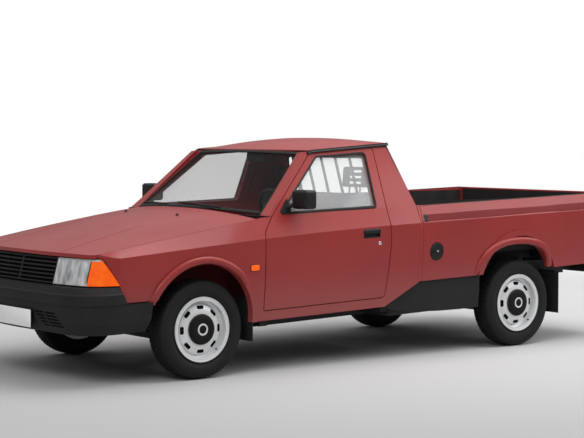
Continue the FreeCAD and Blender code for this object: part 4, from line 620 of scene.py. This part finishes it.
def window_seals():
    """Black rubber round the door windows, with a wide wiping edge at the bottom."""
    corners = [(595, 948), (1364, 944), (1390, 1296), (986, 1282)]
    outline = spread(rounded_loop(corners, [15, 25, 30, 20]), 40)
    belt = [(600 + 19 * index, 949) for index in range(41)]
    for label, side in SIDES:
        skin_strip("window_seal_" + label, outline, 0.4, side, 12, 2.6, "door_" + label, True)
        skin_strip("window_channel_" + label, outline, -9, side, 9, 3, "door_" + label, True)
        skin_strip("belt_seal_" + label, belt, 1, side, 17, 4, "door_" + label)


def screen_seal():
    """The rubber frame of the windscreen."""
    rising = [0.012 + 0.976 * index / 16 for index in range(17)]
    loop = [(692 - 1384 * index / 36, rising[0]) for index in range(37)]
    loop += [(139 * share - 692, share) for share in rising[1:]]
    loop += [(1106 * index / 30 - 553, rising[-1]) for index in range(1, 31)]
    loop += [(692 - 139 * share, share) for share in reversed(rising[1:-1])]
    path = [glass_point(x, share, 1) for x, share in loop]
    normals = [glass_normal(x, share) for x, share in loop]
    strip("screen_seal", path, normals, 24, 5, RUBBER, closed=True)


def rear_seal():
    """The rubber frame of the rear window, 1 mm proud of the leaning wall."""
    corners = [(-540, 988), (540, 988), (480, 1258), (-480, 1258)]
    loop = spread(rounded_loop(corners, [45, 45, 45, 45]), 60)
    path = [place(x, rear_wall(height) + 1, height + 0.27) for x, height in loop]
    strip("rear_window_seal", path, [Vector((0, 1, 0.27))] * len(loop), 26, 6, RUBBER, closed=True)


def drip_rails():
    """Dark rain rails along the roof's sides, with their ends carried past the roof."""
    section = [(-0.5, -0.8), (-0.5, 0.9), (-0.2, 1.15), (0.15, 0.7), (0.5, 0.75), (0.5, -0.8)]
    stations = [925 + (1592 - 925) * index / 27 for index in range(28)]
    for label, side in SIDES:
        path = []
        for u in stations:
            drop = 10 * max(0, (960 - u) / 35) ** 2
            path.append(place(side * (DRIP_HALF + 5), u, drip_height(u) + 2 - drop))
        normals = [Vector((side, 0, 0.12))] * len(path)
        strip("drip_rail_" + label, path, normals, 20, 10, PLASTIC, section=section)


def pillar_trims():
    """Black line where the cab's rear panel meets the rear pillar."""
    heights = [942 + (1336 - 942) * index / 19 for index in range(20)]
    for label, side in SIDES:
        path = [skin(rear_wall(height) - 3, height, 0.5, side) - Vector((0, 0.004, 0)) for height in heights]
        normals = [skin_normal(rear_wall(height) - 23, height, side) for height in heights]
        strip("pillar_trim_" + label, path, normals, 7, 2.2, RUBBER)


# Body sides: handles, locks, a band of painted shade on the bed, fuel cap and repeaters

def edge_rise(s, t, margin_s, margin_t):
    """1 well inside a patch, falling to 0 at its border."""
    across = min(1, min(s, 1 - s) / margin_s)
    up = min(1, min(t, 1 - t) / margin_t)
    return math.sin(min(across, up) * math.pi / 2)


def handle_form(s, t):
    """A rim with a finger well below and a grip above."""
    rim = 4.5 * edge_rise(s, t, 0.05, 0.12)
    if 0.06 < s < 0.94 and 0.1 < t < 0.5:
        return 1 - 13 * math.sin((t - 0.1) / 0.4 * math.pi) ** 0.5
    if t >= 0.5:
        return rim + 3 * math.sin((t - 0.5) / 0.5 * math.pi)
    return rim


def door_handles():
    lock = [(0, 4), (4, 4), (4.2, 3), (8, 3.4), (11, 2.6), (13, 0), (13, -3)]
    for label, side in SIDES:
        door = "door_" + label
        relief("door_handle_" + label, (1210, 1351, 757, 813), GRAINED, door, side, handle_form, 42, 24)
        out = skin_normal(1350, 717, side)
        lathe("door_lock_" + label, lock, skin(1350, 717, -1, side), out, CHROME, door, 32)


def bed_shade_bands():
    """Thin strip above the crease along the load bed, its darker red painted shade of a steeper facet, with a
    black end cap.
    """
    def low(u):
        return crease_height(u) + 5

    def strip_form(s, t):
        return 0.9 * edge_rise(s, t, 0.004, 0.12)

    def cap_form(s, t):
        pocket = 1.6 if 0.3 < s < 0.7 and 0.3 < t < 0.7 else 0
        return 4.5 * edge_rise(s, t, 0.12, 0.16) - pocket

    for label, side in SIDES:
        relief("bed_stripe_" + label, (1768, 3578, low, 879), PAINT_SHADED_BAND, "root", side, strip_form, 120, 8)
        relief("bed_stripe_cap_" + label, (1733, 1768, low, 880), PLASTIC, "root", side, cap_form, 12, 14)


def fuel_lock():
    """A lock in the middle of the fuel cap and a ring round its edge."""
    lock = [(0, 1.6), (2.6, 1.8), (3.0, 1.0), (5.6, 1.4), (6.6, 0.4), (6.6, -2)]
    ring = [(46, 0.4), (47, 1.2), (50, 1.2), (51, 0.4), (51, -1), (46, -1), (46, 0.4)]
    lathe("fuel_cap_lock", lock, place(851.4, 1843, 631), (1, 0, 0), CHROME, "root", 32)
    lathe("fuel_cap_ring", ring, place(843.2, 1843, 631), (1, 0, 0), PLASTIC)


def repeaters():
    """Dark bases under the side repeaters' lenses."""
    def base(s, t):
        return 1.6 * edge_rise(s, t, 0.06, 0.1)

    for label, side in SIDES:
        relief("repeater_base_" + label, (321, 387, 613, 656), PLASTIC, "root", side, base, 16, 10)


window_seals()
screen_seal()
rear_seal()
drip_rails()
pillar_trims()
door_handles()
bed_shade_bands()
fuel_lock()
repeaters()

# Wheels: treaded tyres, black cap covers and valve stems

WHEELS = (("front_left", 1, TRACK_HALF_FRONT, 0), ("front_right", -1, TRACK_HALF_FRONT, 0),
          ("rear_left", 1, TRACK_HALF_REAR, WHEELBASE), ("rear_right", -1, TRACK_HALF_REAR, WHEELBASE))
TREAD_BLOCKS = 72
VALVE_RADIUS = 0.164
SLOT_CIRCLE = 133


def wheel_centre(side, track_half, u):
    return Vector((side * track_half, u + FRONT_AXLE_Y, HUB_HEIGHT)) / 1000


def tyre_profile():
    """(radius, offset from the middle plane) from the inner bead over the tread to the outer bead."""
    half = [(179, 56), (184, 62), (192, 65.5), (199, 68), (205, 69), (207, 71), (209, 71), (211, 70.5),
            (222, 77), (236, 81.4), (247, 82), (258, 80.6), (261, 80.9), (264, 79.4), (274, 76.5),
            (284, 72.5), (291, 67), (295.5, 60), (297.6, 52), (298.2, 46)]
    for groove in (39, 13):
        half += [(298.8, groove + 5), (291.5, groove + 3.4), (291.5, groove - 3.4), (299.2, groove - 5)]
    return half + [(299.6, 0)] + [(radius, -offset) for radius, offset in reversed(half)]


def tyre(label, side, track_half, u):
    """A tyre with ribs, cross cuts in its shoulders and rings on its side wall."""
    profile = tyre_profile()
    centre = wheel_centre(side, track_half, u)
    steps = TREAD_BLOCKS * 3
    points = []
    for step in range(steps):
        angle = 2 * math.pi * step / steps
        cut = step % 3 == 0
        for radius, offset in profile:
            if cut and radius > 293 and abs(offset) > 20:
                radius -= 5.5
            elif cut and 286 < radius <= 293 and abs(offset) > 60:
                radius -= 3
            away = Vector((offset, radius * math.cos(angle), radius * math.sin(angle)))
            points.append(centre + away / 1000)
    faces = turned_faces(len(profile), steps)
    piece = add_piece("tyre_tread_" + label, points, faces, TYRE, "wheel_" + label, 42)
    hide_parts("tyre_" + label)


def wheel_trim(label, side, track_half, u):
    """Black cover on the centre cap with a bright ring, the valve, and the rim's rolled edge."""
    centre = wheel_centre(side, track_half, u)
    axis = Vector((side, 0, 0))
    wheel = "wheel_" + label
    cover = [(92.4, 60.5), (92.8, 66), (91.6, 69.2), (88, 71.4), (80, 75.6), (66, 78.6), (52, 79.4),
             (37, 79.4), (36, 78.9)]
    ring = [(36.4, 78.4), (36, 81), (34.2, 82.3), (27.6, 82.3), (26, 81), (25.6, 78.4)]
    boss = [(25.6, 79.2), (18, 79.6), (16.5, 81.2), (9, 82), (0, 82.2)]
    stem = [(0, 14), (2.6, 14), (3.2, 12), (3.2, 5), (4.4, 4), (4.4, 0)]
    edge = [(195.2, 72.2), (196.6, 73.6), (196.2, 75.4), (193.6, 76), (190.2, 74.8), (189.6, 72.4)]
    valve_place = centre + Vector((side * 0.061, VALVE_RADIUS * math.sin(0.7), -VALVE_RADIUS * math.cos(0.7)))
    lathe("cap_cover_" + label, cover, centre, axis, CAP_BLACK, wheel, 72)
    lathe("cap_ring_" + label, ring, centre, axis, SILVER, wheel)
    lathe("cap_boss_" + label, boss, centre, axis, CAP_BLACK, wheel, 48)
    lathe("valve_" + label, stem, valve_place, axis, RUBBER, wheel, 16)
    lathe("rim_edge_" + label, edge, centre, axis, SILVER, wheel, 96)


for wheel in WHEELS:
    tyre(*wheel)
    wheel_trim(*wheel)


# Front end: grille and blank plate

NOSE_STATION = -805
NOSE_NORMAL = Vector((0, -1, 0.26)).normalized()
GRILLE_HALF = 388
GRILLE_FOOT = 604


def nose_offset(x):
    """How far the nose falls back at a half width, in millimetres."""
    x = abs(x)
    if x < 397:
        return 15 * (x / 397) ** 2
    return 15 + 0.0755 * (x - 397) + 0.000455 * (x - 397) ** 2


def nose_place(x, height, behind=0):
    """A place on the lamps' front, or a distance behind it."""
    lean = 40 * (height - 600) / 152
    return place(x, NOSE_STATION + nose_offset(x) + lean + behind, height)


def grille_rim():
    """A rounded black border round the grille and thin bars across it."""
    half = GRILLE_HALF + 4
    top = GRILLE_FOOT + 144
    corners = [(-half, GRILLE_FOOT), (half, GRILLE_FOOT), (half, top), (-half, top)]
    loop = spread(rounded_loop(corners, [8, 8, 8, 8], 3), 30)
    path = [nose_place(x, height, 6) for x, height in loop]
    strip("grille_rim", path, [NOSE_NORMAL] * len(loop), 9, 5, PLASTIC, closed=True)
    for index in range(7):
        path = [nose_place(-384 + 32 * step, GRILLE_FOOT + 24 * index, 7) for step in range(25)]
        strip("grille_bar_%d" % index, path, [Vector((0, -1, 0.1))] * 25, 7, 4, PLASTIC)


def blank_plate(centre, width, height):
    """A blank front plate with rounded corners in a thin black holder."""
    for kind, grow, low, high, material in (("holder", 5, -7, 0.4, PLASTIC), ("face", 0, 0, 1.5, PLATE)):
        x = width / 2 + grow
        z = height / 2 + grow
        loop = rounded_loop([(-x, -z), (x, -z), (x, z), (-x, z)], [9, 9, 9, 9], 5)
        rings = []
        for level, inset in ((low, 0), (high - 0.5, 0), (high, 0.8)):
            narrow = 1 - 2 * inset / width
            short = 1 - 2 * inset / height
            rings.append([centre + Vector((x * narrow, -level, z * short)) / 1000 for x, z in loop])
        loft("front_plate_" + kind, rings, material)


grille_rim()
blank_plate(Vector((0, -2.2508, 0.377)), 520, 106)

# Surfaces of CAD nodes, to lay trim on: rays start ahead of the nose or above the hood

SURFACES = {}
AHEAD = -1100
ABOVE = 1300


def on_node(name, start, aim, proud=0):
    """The first place of a node's surface along a ray, and the way that it faces."""
    if name not in SURFACES:
        mesh = nodes[name].data
        corners = [vertex.co for vertex in mesh.vertices]
        SURFACES[name] = BVHTree.FromPolygons(corners, [tuple(face.vertices) for face in mesh.polygons])
    aim = Vector(aim).normalized()
    hit, normal, _, _ = SURFACES[name].ray_cast(Vector(start), aim)
    if hit is None:
        return None, None
    if normal.dot(aim) > 0:
        normal.negate()
    return hit + normal * proud / 1000, normal


def laid_strip(name, node, starts, aim, width, rise, material, body="root"):
    """A strip along the places where a row of rays meets a node."""
    found = [on_node(node, start, aim, -0.2) for start in starts]
    found = [(point, normal) for point, normal in found if point is not None]
    strip(name, [point for point, _ in found], [normal for _, normal in found], width, rise, material, body)


def rounded_block(name, centre, size, radius, material, body="root", cells=3,
                  crown=(0, 0), turn=None, dips=()):
    """A closed block with round edges, crowned faces and sewn channels; sizes in millimetres.

    crown swells the top and the bottom, and each dip is (axis, share, depth): a channel across the top."""
    half = [value / 2 for value in size]
    steps = [max(4, int(value / (cells * 4))) for value in size]
    points = []
    faces = []
    index_of = {}

    def corner(step):
        """The index of a grid point of the block's surface, added when it is new."""
        if step in index_of:
            return index_of[step]
        flat = [(2 * step[axis] / steps[axis] - 1) * half[axis] for axis in range(3)]
        inner = Vector([max(radius - half[axis], min(half[axis] - radius, flat[axis])) for axis in range(3)])
        away = Vector(flat) - inner
        point = inner + away.normalized() * radius if away.length > 0.0001 else inner
        share = [point[axis] / half[axis] for axis in range(3)]
        bulge = max(0, 1 - share[0] ** 2) * max(0, 1 - share[1] ** 2)
        if step[2] == steps[2]:
            point.z += crown[0] * bulge
            for axis, at, depth in dips:
                gap = (share[axis] - at) * half[axis] / 9
                point.z -= depth * math.exp(-gap * gap)
        if step[2] == 0:
            point.z -= crown[1] * bulge
        if turn is not None:
            point = turn @ point
        index_of[step] = len(points)
        points.append(Vector(centre) + point / 1000)
        return index_of[step]

    for axis in range(3):
        a, b = [other for other in range(3) if other != axis]
        for side in (0, steps[axis]):
            for i in range(steps[a]):
                for j in range(steps[b]):
                    ring = []
                    for di, dj in ((0, 0), (1, 0), (1, 1), (0, 1)):
                        step = {axis: side, a: i + di, b: j + dj}
                        ring.append(corner((step[0], step[1], step[2])))
                    if len(set(ring)) == 4:
                        faces.append(tuple(ring))
    return add_piece(name, points, faces, material, body, 50)


# Roof: one smooth crowned skin

ROOF_REAR = 1588
ROOF_CROWN = 47


def roof_front(x):
    return 880 + 76.4 * (x / 660) ** 2


def roof_height(x, u):
    """The roof's top at a place, as a height of the body."""
    share = (u - roof_front(x)) / (ROOF_REAR - roof_front(x))
    rise = 1 - 0.86 * max(0, 1 - share / 0.55) ** 2.2
    if share > 0.62:
        rise -= 0.62 * ((share - 0.62) / 0.38) ** 2.4
    across = 1 - abs(x / DRIP_HALF) ** 2.6
    return drip_height(u) + 10 + ROOF_CROWN * across * rise


def roof():
    columns = 60
    rows = 48
    upper = []
    lower = []
    for s, t in shares(columns, rows):
        x = DRIP_HALF * (2 * s - 1)
        u = roof_front(x) + (ROOF_REAR - roof_front(x)) * t
        top = roof_height(x, u)
        edge = drip_height(u) + 6
        border = s in (0, 1) or t in (0, 1)
        upper.append(place(x, u, top))
        lower.append(place(x, u, edge if border else max(edge, top - 24)))
    skin_piece = add_piece("roof_skin", upper + lower, shell_faces(columns, rows), PAINT, crease=40)
    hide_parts("roof_panel")


roof()


# Lamps, grille and bumper trim, laid on the CAD surfaces

LAMP_SPLIT = 692


def band_point(x, height, proud):
    """A place on the lamp band's front, moved out of it."""
    out = Vector((0.1 * x / 700, -1, 0.26)).normalized()
    for shift in (0, -5, 5):
        for node in ("headlamps", "turn_signals"):
            point, _ = on_node(node, place(x + shift, AHEAD, height), (0, 1, 0))
            if point is not None:
                return Vector((x / 1000, point.y, point.z)) + out * proud / 1000
    return nose_place(x, height, -proud)


def lens_sheet(name, x0, x1, low, high, material, side, columns, rows, rib):
    """A ribbed clear sheet just in front of the lamp band, folded back along its top."""
    points = []
    for s, t in shares(columns, rows):
        border = min(s, 1 - s) < 0.02 or min(t, 1 - t) < 0.03
        proud = 1.2 if border else 1.4 + rib(s, t)
        points.append(band_point(side * (x0 + (x1 - x0) * s), low + (high - low) * t, proud))
    points += [point + Vector((0, 0.024, 0.0016)) for point in points[-columns - 1:]]
    faces, back = hem(points, columns, rows + 1, Vector((0, 0.003, 0)))
    add_piece(name, points, faces + [back], material, crease=60)


def lamp_ribs(s, t):
    band = abs(math.sin(s * 17 * math.pi)) * (0.25 if 0.40 < s < 0.62 else 1)
    block = 0.7 * abs(math.sin(s * 34 * math.pi)) if t < 0.3 and 0.2 < s < 0.8 else 0
    return 1.3 * band + block


def amber_ribs(s, t):
    return 0.9 * abs(math.sin(t * 9 * math.pi)) + 0.5 * abs(math.sin(s * 12 * math.pi))


def front_lamps():
    for label, side in SIDES:
        lens_sheet("headlamp_lens_" + label, 405, LAMP_SPLIT - 4, GRILLE_FOOT, 750,
                   BRIGHT_LENS, side, 132, 22, lamp_ribs)
        lens_sheet("amber_lens_" + label, LAMP_SPLIT + 3, 756, 603, 751,
                   AMBER, side, 30, 40, amber_ribs)
        path = [band_point(side * LAMP_SPLIT, GRILLE_FOOT + 24.5 * step, 0.6) for step in range(7)]
        strip("lamp_divider_" + label, path, [NOSE_NORMAL] * 7, 6, 3, DARK)


def grille_shade_back():
    """A near-black sheet close behind the grille's slots: painted shade, where the engine bay would show
    through.
    """
    places = [(GRILLE_HALF * (2 * s - 1), GRILLE_FOOT + 142 * t) for s, t in shares(20, 1)]
    points = [nose_place(x, height, 26) for x, height in places]
    faces = grid_faces(20, 1)
    faces += [tuple(len(points) + index for index in reversed(face)) for face in faces]
    points += [point + Vector((0, 0.003, 0)) for point in points]
    add_piece("grille_shade_back", points, faces, DARK)


def bumper_slots():
    """Air slots in the bumper's skirt, beside the plate, drawn as near-black strips on its face: painted
    shade of the openings.
    """
    for label, side in SIDES:
        for row in range(5):
            spans = [(284 + 20 * row, 372 + 14 * row), (388 + 14 * row, 500 + 20 * row)]
            for column, (start, end) in enumerate(spans):
                name = "bumper_slot_%s_%d_%d" % (label, row, column)
                xs = [side * (start + (end - start) * step / 8) for step in range(9)]
                starts = [place(x, AHEAD, 442 - 18 * row) for x in xs]
                laid_strip(name, "front_bumper", starts, (0, 1, 0), 11, 1.4, DARK)


def bumper_lines():
    """The moulded ledges along the bumper."""
    for name, height, width, rise in (("bumper_ledge", 545, 6, 2.2), ("bumper_lip", 482, 5, 2.0)):
        starts = [place(-690 + 23 * index, AHEAD, height) for index in range(61)]
        laid_strip(name, "front_bumper", starts, (0, 1, 0), width, rise, GRAINED)


grille_shade_back()
front_lamps()
bumper_slots()
bumper_lines()


# Hood fittings

def hood_fittings():
    """Washer nozzles and the pressed folds of the hood."""
    nozzle = [(11, -1), (11, 3), (7, 8), (4, 11), (0, 12)]
    down = (0, 0, -1)
    for label, side in SIDES:
        base, _ = on_node("hood", place(side * 300, 150, ABOVE), down)
        lathe("washer_nozzle_" + label, nozzle, base, (0, -0.15, 1), GRAINED, "hood", 24)
        starts = [place(side * (418 - 2.5 * step), -752 + 620 * step / 24, ABOVE) for step in range(25)]
        path = [on_node("hood", start, down)[0] for start in starts]
        path = [point for point in path if point is not None]
        strip("hood_fold_" + label, path, [Vector((0, 0, 1))] * len(path), 5, 1.3, PAINT, "hood")


hood_fittings()


# Load bed: rail caps, skirts, handle and tail lenses

def bed_rails():
    """Dark caps along the inner edge of the bed's rails."""
    for label, side in SIDES:
        starts = [Vector((side * 0.765, 0.38 + 1.78 * step / 40, 1.3)) for step in range(41)]
        laid_strip("bed_rail_cap_" + label, "bed_side_" + label, starts, (0, 0, -1), 34, 3.5, GRAINED)


def side_skirts():
    """Dark panels below the body ahead of the rear wheels, and a painted bracket under each sill."""
    line = [(1432, 300), (1480, 276), (1560, 254), (1700, 240), (1900, 228), (2090, 222), (2262, 222)]
    for label, side in SIDES:
        rings = []
        for u, low in line:
            top = body_bottom(u) + 8
            outer = side * (side_x(u, top) - 16)
            inner = outer - side * 4
            levels = [(0, top), (3, (top + low) / 2), (14, low)]
            front = [place(outer - side * tuck, u, height) for tuck, height in levels]
            back = [place(inner - side * tuck, u, height) for tuck, height in reversed(levels)]
            rings.append(front + back)
        loft("side_skirt_" + label, rings, GRAINED)
        rounded_block("tow_eye_" + label, (side * 0.786, 0.678, 0.388), (12, 92, 62), 5, PAINT, cells=2)


def tail_fittings():
    lenses = ((0.674, 0.742, RED_LENS), (0.748, 0.818, AMBER), (0.824, 0.894, RED_LENS))
    rounded_block("tailgate_handle", (0, 2.194, 0.93), (190, 5, 46), 2.2, GRAINED, "tailgate")
    rounded_block("tailgate_grip", (0, 2.1962, 0.935), (120, 4, 24), 1.8, DARK, "tailgate")
    for label, side in SIDES:
        for index, (low, high, material) in enumerate(lenses):
            centre = (side * 0.78, 2.2215, (low + high) / 2)
            size = (66, 4, (high - low) * 1000)
            rounded_block("tail_lens_%s_%d" % (label, index), centre, size, 1.9, material, cells=2)


bed_rails()
side_skirts()
tail_fittings()


# Cab inside: seats, dials, mirror

SEAT_HALF_SPACING = 0.365
CHANNELS = ((0, -0.5, 7), (0, 0.5, 7))


def lean(angle):
    return Matrix.Rotation(math.radians(angle), 3, "X")


def seat_pads(label, x):
    """Crowned cushion and back with sewn channels, and a head rest with three slots."""
    cushion = rounded_block("seat_cushion_" + label, (x, -0.200, 0.487), (450, 436, 112), 42, FABRIC,
                            crown=(16, 2), turn=lean(-6), dips=CHANNELS + ((1, -0.55, 5),))
    back = rounded_block("seat_back_" + label, (x, 0.056, 0.790), (430, 545, 96), 40, FABRIC,
                         crown=(13, 4), turn=lean(-102), dips=CHANNELS + ((1, 0.45, 5),))
    for side in (-1, 1):
        end = "%s_%d" % (label, side + 1)
        rounded_block("head_rest_side_" + end, (x + side * 0.0965, 0.152, 1.177), (36, 52, 136), 16,
                      TRIM, turn=lean(-6))
        post = [Vector((x + side * 0.055, y, z)) for y, z in ((0.140, 1.04), (0.146, 1.12))]
        tube("head_rest_post_" + end, post, 6, CHROME)
    for index in range(4):
        centre = (x, 0.146 + 0.004 * index, 1.121 + 0.0375 * index)
        rounded_block("head_rest_bar_%s_%d" % (label, index), centre, (196, 44, 22), 9,
                      TRIM, turn=lean(-6))
    rounded_block("seat_base_" + label, (x, -0.19, 0.411), (390, 380, 56), 6, TRIM, cells=8)
    for side in (-1, 1):
        piping = [Vector((x + side * 0.232, y, z)) for y, z in ((-0.39, 0.45), (-0.2, 0.468), (0.0, 0.486))]
        tube("seat_piping_%s_%d" % (label, side + 1), piping, 3.5, TRIM)
    return cushion


pads = [seat_pads(label, side * SEAT_HALF_SPACING) for label, side in SIDES]
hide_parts("seats")


def cab_fittings():
    """Dials, vents, glove box, mirror and gear lever."""
    rounded_block("dial_hood", (0.365, -0.765, 0.900), (340, 120, 52), 16, TRIM, cells=4, crown=(3, 0))
    for index, x in enumerate((-0.55, -0.08, 0.08, 0.56)):
        rounded_block("dash_vent_%d" % index, (x, -0.690, 0.872), (110, 8, 44), 3, GRAINED)
        for row in range(4):
            blade = [Vector((x + reach, -0.6855, 0.857 + 0.010 * row)) for reach in (-0.048, 0.048)]
            strip("vent_blade_%d_%d" % (index, row), blade, [Vector((0, 1, 0.3))] * 2, 4, 3, DARK)
    rounded_block("glove_lid", (-0.37, -0.690, 0.76), (330, 6, 120), 2.5, GRAINED)
    rounded_block("wheel_pad", (0.365, -0.545, 0.955), (130, 90, 30), 12, GRAINED,
                  "steering", crown=(4, 0), turn=lean(-26))
    rounded_block("cab_mirror", (0.0, -0.400, 1.313), (215, 16, 58), 7, GRAINED)
    stem = [Vector((0, -0.402, 1.335)), Vector((0, -0.425, 1.356)), Vector((0, -0.44, 1.366))]
    lever = [Vector((0, -0.42, 0.47)), Vector((0, -0.40, 0.60)), Vector((0, -0.395, 0.66))]
    knob = [(0, -16), (10, -14), (17, -4), (18, 4), (13, 14), (0, 17)]
    tube("cab_mirror_stem", stem, 5, GRAINED)
    tube("gear_lever", lever, 6, CHROME)
    lathe("gear_knob", knob, Vector((0, -0.394, 0.672)), (0, 0, 1), GRAINED, "root", 24)


cab_fittings()

# Seam fillers, bed liner with painted shade, and wheel slots with painted shade

def seam_fillers():
    """Painted panels that carry the skin across from the cab to the bed, with one thin upright groove."""
    def low(u):
        return body_bottom(u) + 3

    def form(s, t):
        return 0.6 - 3.2 * math.exp(-((s - 0.5) / 0.07) ** 2)

    for label, side in SIDES:
        relief("seam_filler_" + label, (1693, 1744, low, 939), PAINT, "root", side, form, 48, 16)


def ribbed_plate(name, corner, across, up, columns, ribs, body):
    """A closed dark plate, 2 mm thick, with upright ribs 2 mm high."""
    corner, across, up = Vector(corner), Vector(across), Vector(up)
    normal = across.cross(up).normalized()
    rows = 6
    front = []
    back = []
    for s, t in shares(columns, rows):
        wave = abs(math.sin(math.pi * ribs * s))
        rise = 2 * min(1, max(0, (wave - 0.35) * 4))
        point = corner + across * s + up * t
        front.append(point + normal * rise / 1000)
        back.append(point - normal * 0.002)
    add_piece(name, front + back, shell_faces(columns, rows), LINER_AND_SHADE, body, 40)


def bed_liner_and_shade():
    """Near-black ribbed panels on the inner faces of the bed's sides and of the tailgate: a black liner, made
    black all over as painted shade inside the bed.
    """
    for label, side in SIDES:
        start, end = (2.139, 0.385) if side > 0 else (0.385, 2.139)
        corner = (side * 0.7395, start, 0.66)
        ribbed_plate("liner_side_" + label, corner, (0, end - start, 0), (0, 0, 0.362), 160, 9, "root")
    ribbed_plate("liner_tailgate", (0.715, 2.1455, 0.69), (-1.43, 0, 0), (0, 0, 0.344), 120, 7, "tailgate")


def wheel_vents(label, side, track_half, u):
    """Near-black linings of the eight oblong slots in a wheel's disc: painted shade inside the slots."""
    centre = wheel_centre(side, track_half, u)
    loop = rounded_loop([(-24, -11), (24, -11), (24, 11), (-24, 11)], [10, 10, 10, 10])
    for index in range(8):
        rings = []
        for offset, inset in ((44.5, 0.98), (52.6, 0.98), (53.0, 0.9)):
            ring = []
            for along, out in loop:
                radius = SLOT_CIRCLE + out * inset
                turn = math.pi * index / 4 + along * inset / SLOT_CIRCLE
                level = side * (offset + (SLOT_CIRCLE - radius) * 0.36)
                away = Vector((level, radius * math.sin(turn), radius * math.cos(turn)))
                ring.append(centre + away / 1000)
            rings.append(ring)
        loft("wheel_vent_%s_%d" % (label, index), rings, DARK, "wheel_" + label)


seam_fillers()
bed_liner_and_shade()
for wheel in WHEELS:
    wheel_vents(*wheel)

# Arch beads: rounded flanges that stand out round the wheel openings

BEAD_SHAPE = [(0.0, -16), (0.0, 2), (0.06, 8), (0.2, 12), (0.42, 13), (0.66, 11.5), (0.86, 7),
              (1.0, 0), (1.0, -8)]
REAR_ARCH = [(-404, 214), (-394, 243), (-378, 279), (-354, 312), (-325, 340), (-280, 367), (-246, 382),
             (-211, 393), (-172, 402), (-131, 408), (-85, 411), (-38, 411), (33, 406), (70, 400), (104, 393),
             (132, 385), (157, 374), (180, 360), (199, 342), (216, 321), (230, 299), (239, 277), (244, 256),
             (247, 238)]


def front_arch():
    """Places along the front opening's edge, from the bumper back to the sill."""
    angles = [math.radians(158 - 130 * step / 40) for step in range(41)]
    return [(366 * math.cos(angle) - 12, 32 + 366 * math.sin(angle)) for angle in angles]


def arch_bead(name, side, u, path, middle, width):
    """A flange whose section follows the path; the path is given from the hub."""
    rings = []
    last = len(path) - 1
    for index, (along, up) in enumerate(path):
        run = (Vector(path[min(last, index + 1)]) - Vector(path[max(0, index - 1)])).normalized()
        out = Vector((-run.y, run.x))
        if out.dot(Vector((along, up - middle))) < 0:
            out = -out
        ease = min(1, index / 4, (last - index) / 7)
        ease = 0.12 + 0.88 * math.sin(ease * math.pi / 2)
        ring = []
        for share, proud in BEAD_SHAPE:
            station = u + along + out.x * width * share
            height = HUB_HEIGHT + up + out.y * width * share - BODY_LIFT - RAKE * station
            rise = 11 * ease + proud * (ease if proud > 0 else 1)
            ring.append(skin(station, height, rise, side))
        rings.append(ring)
    loft(name, rings, PAINT, crease=60)


def arch_beads():
    for label, side in SIDES:
        arch_bead("arch_bead_front_" + label, side, 0, front_arch(), 32, 44)
        arch_bead("arch_bead_rear_" + label, side, WHEELBASE, REAR_ARCH, 90, 49)


arch_beads()
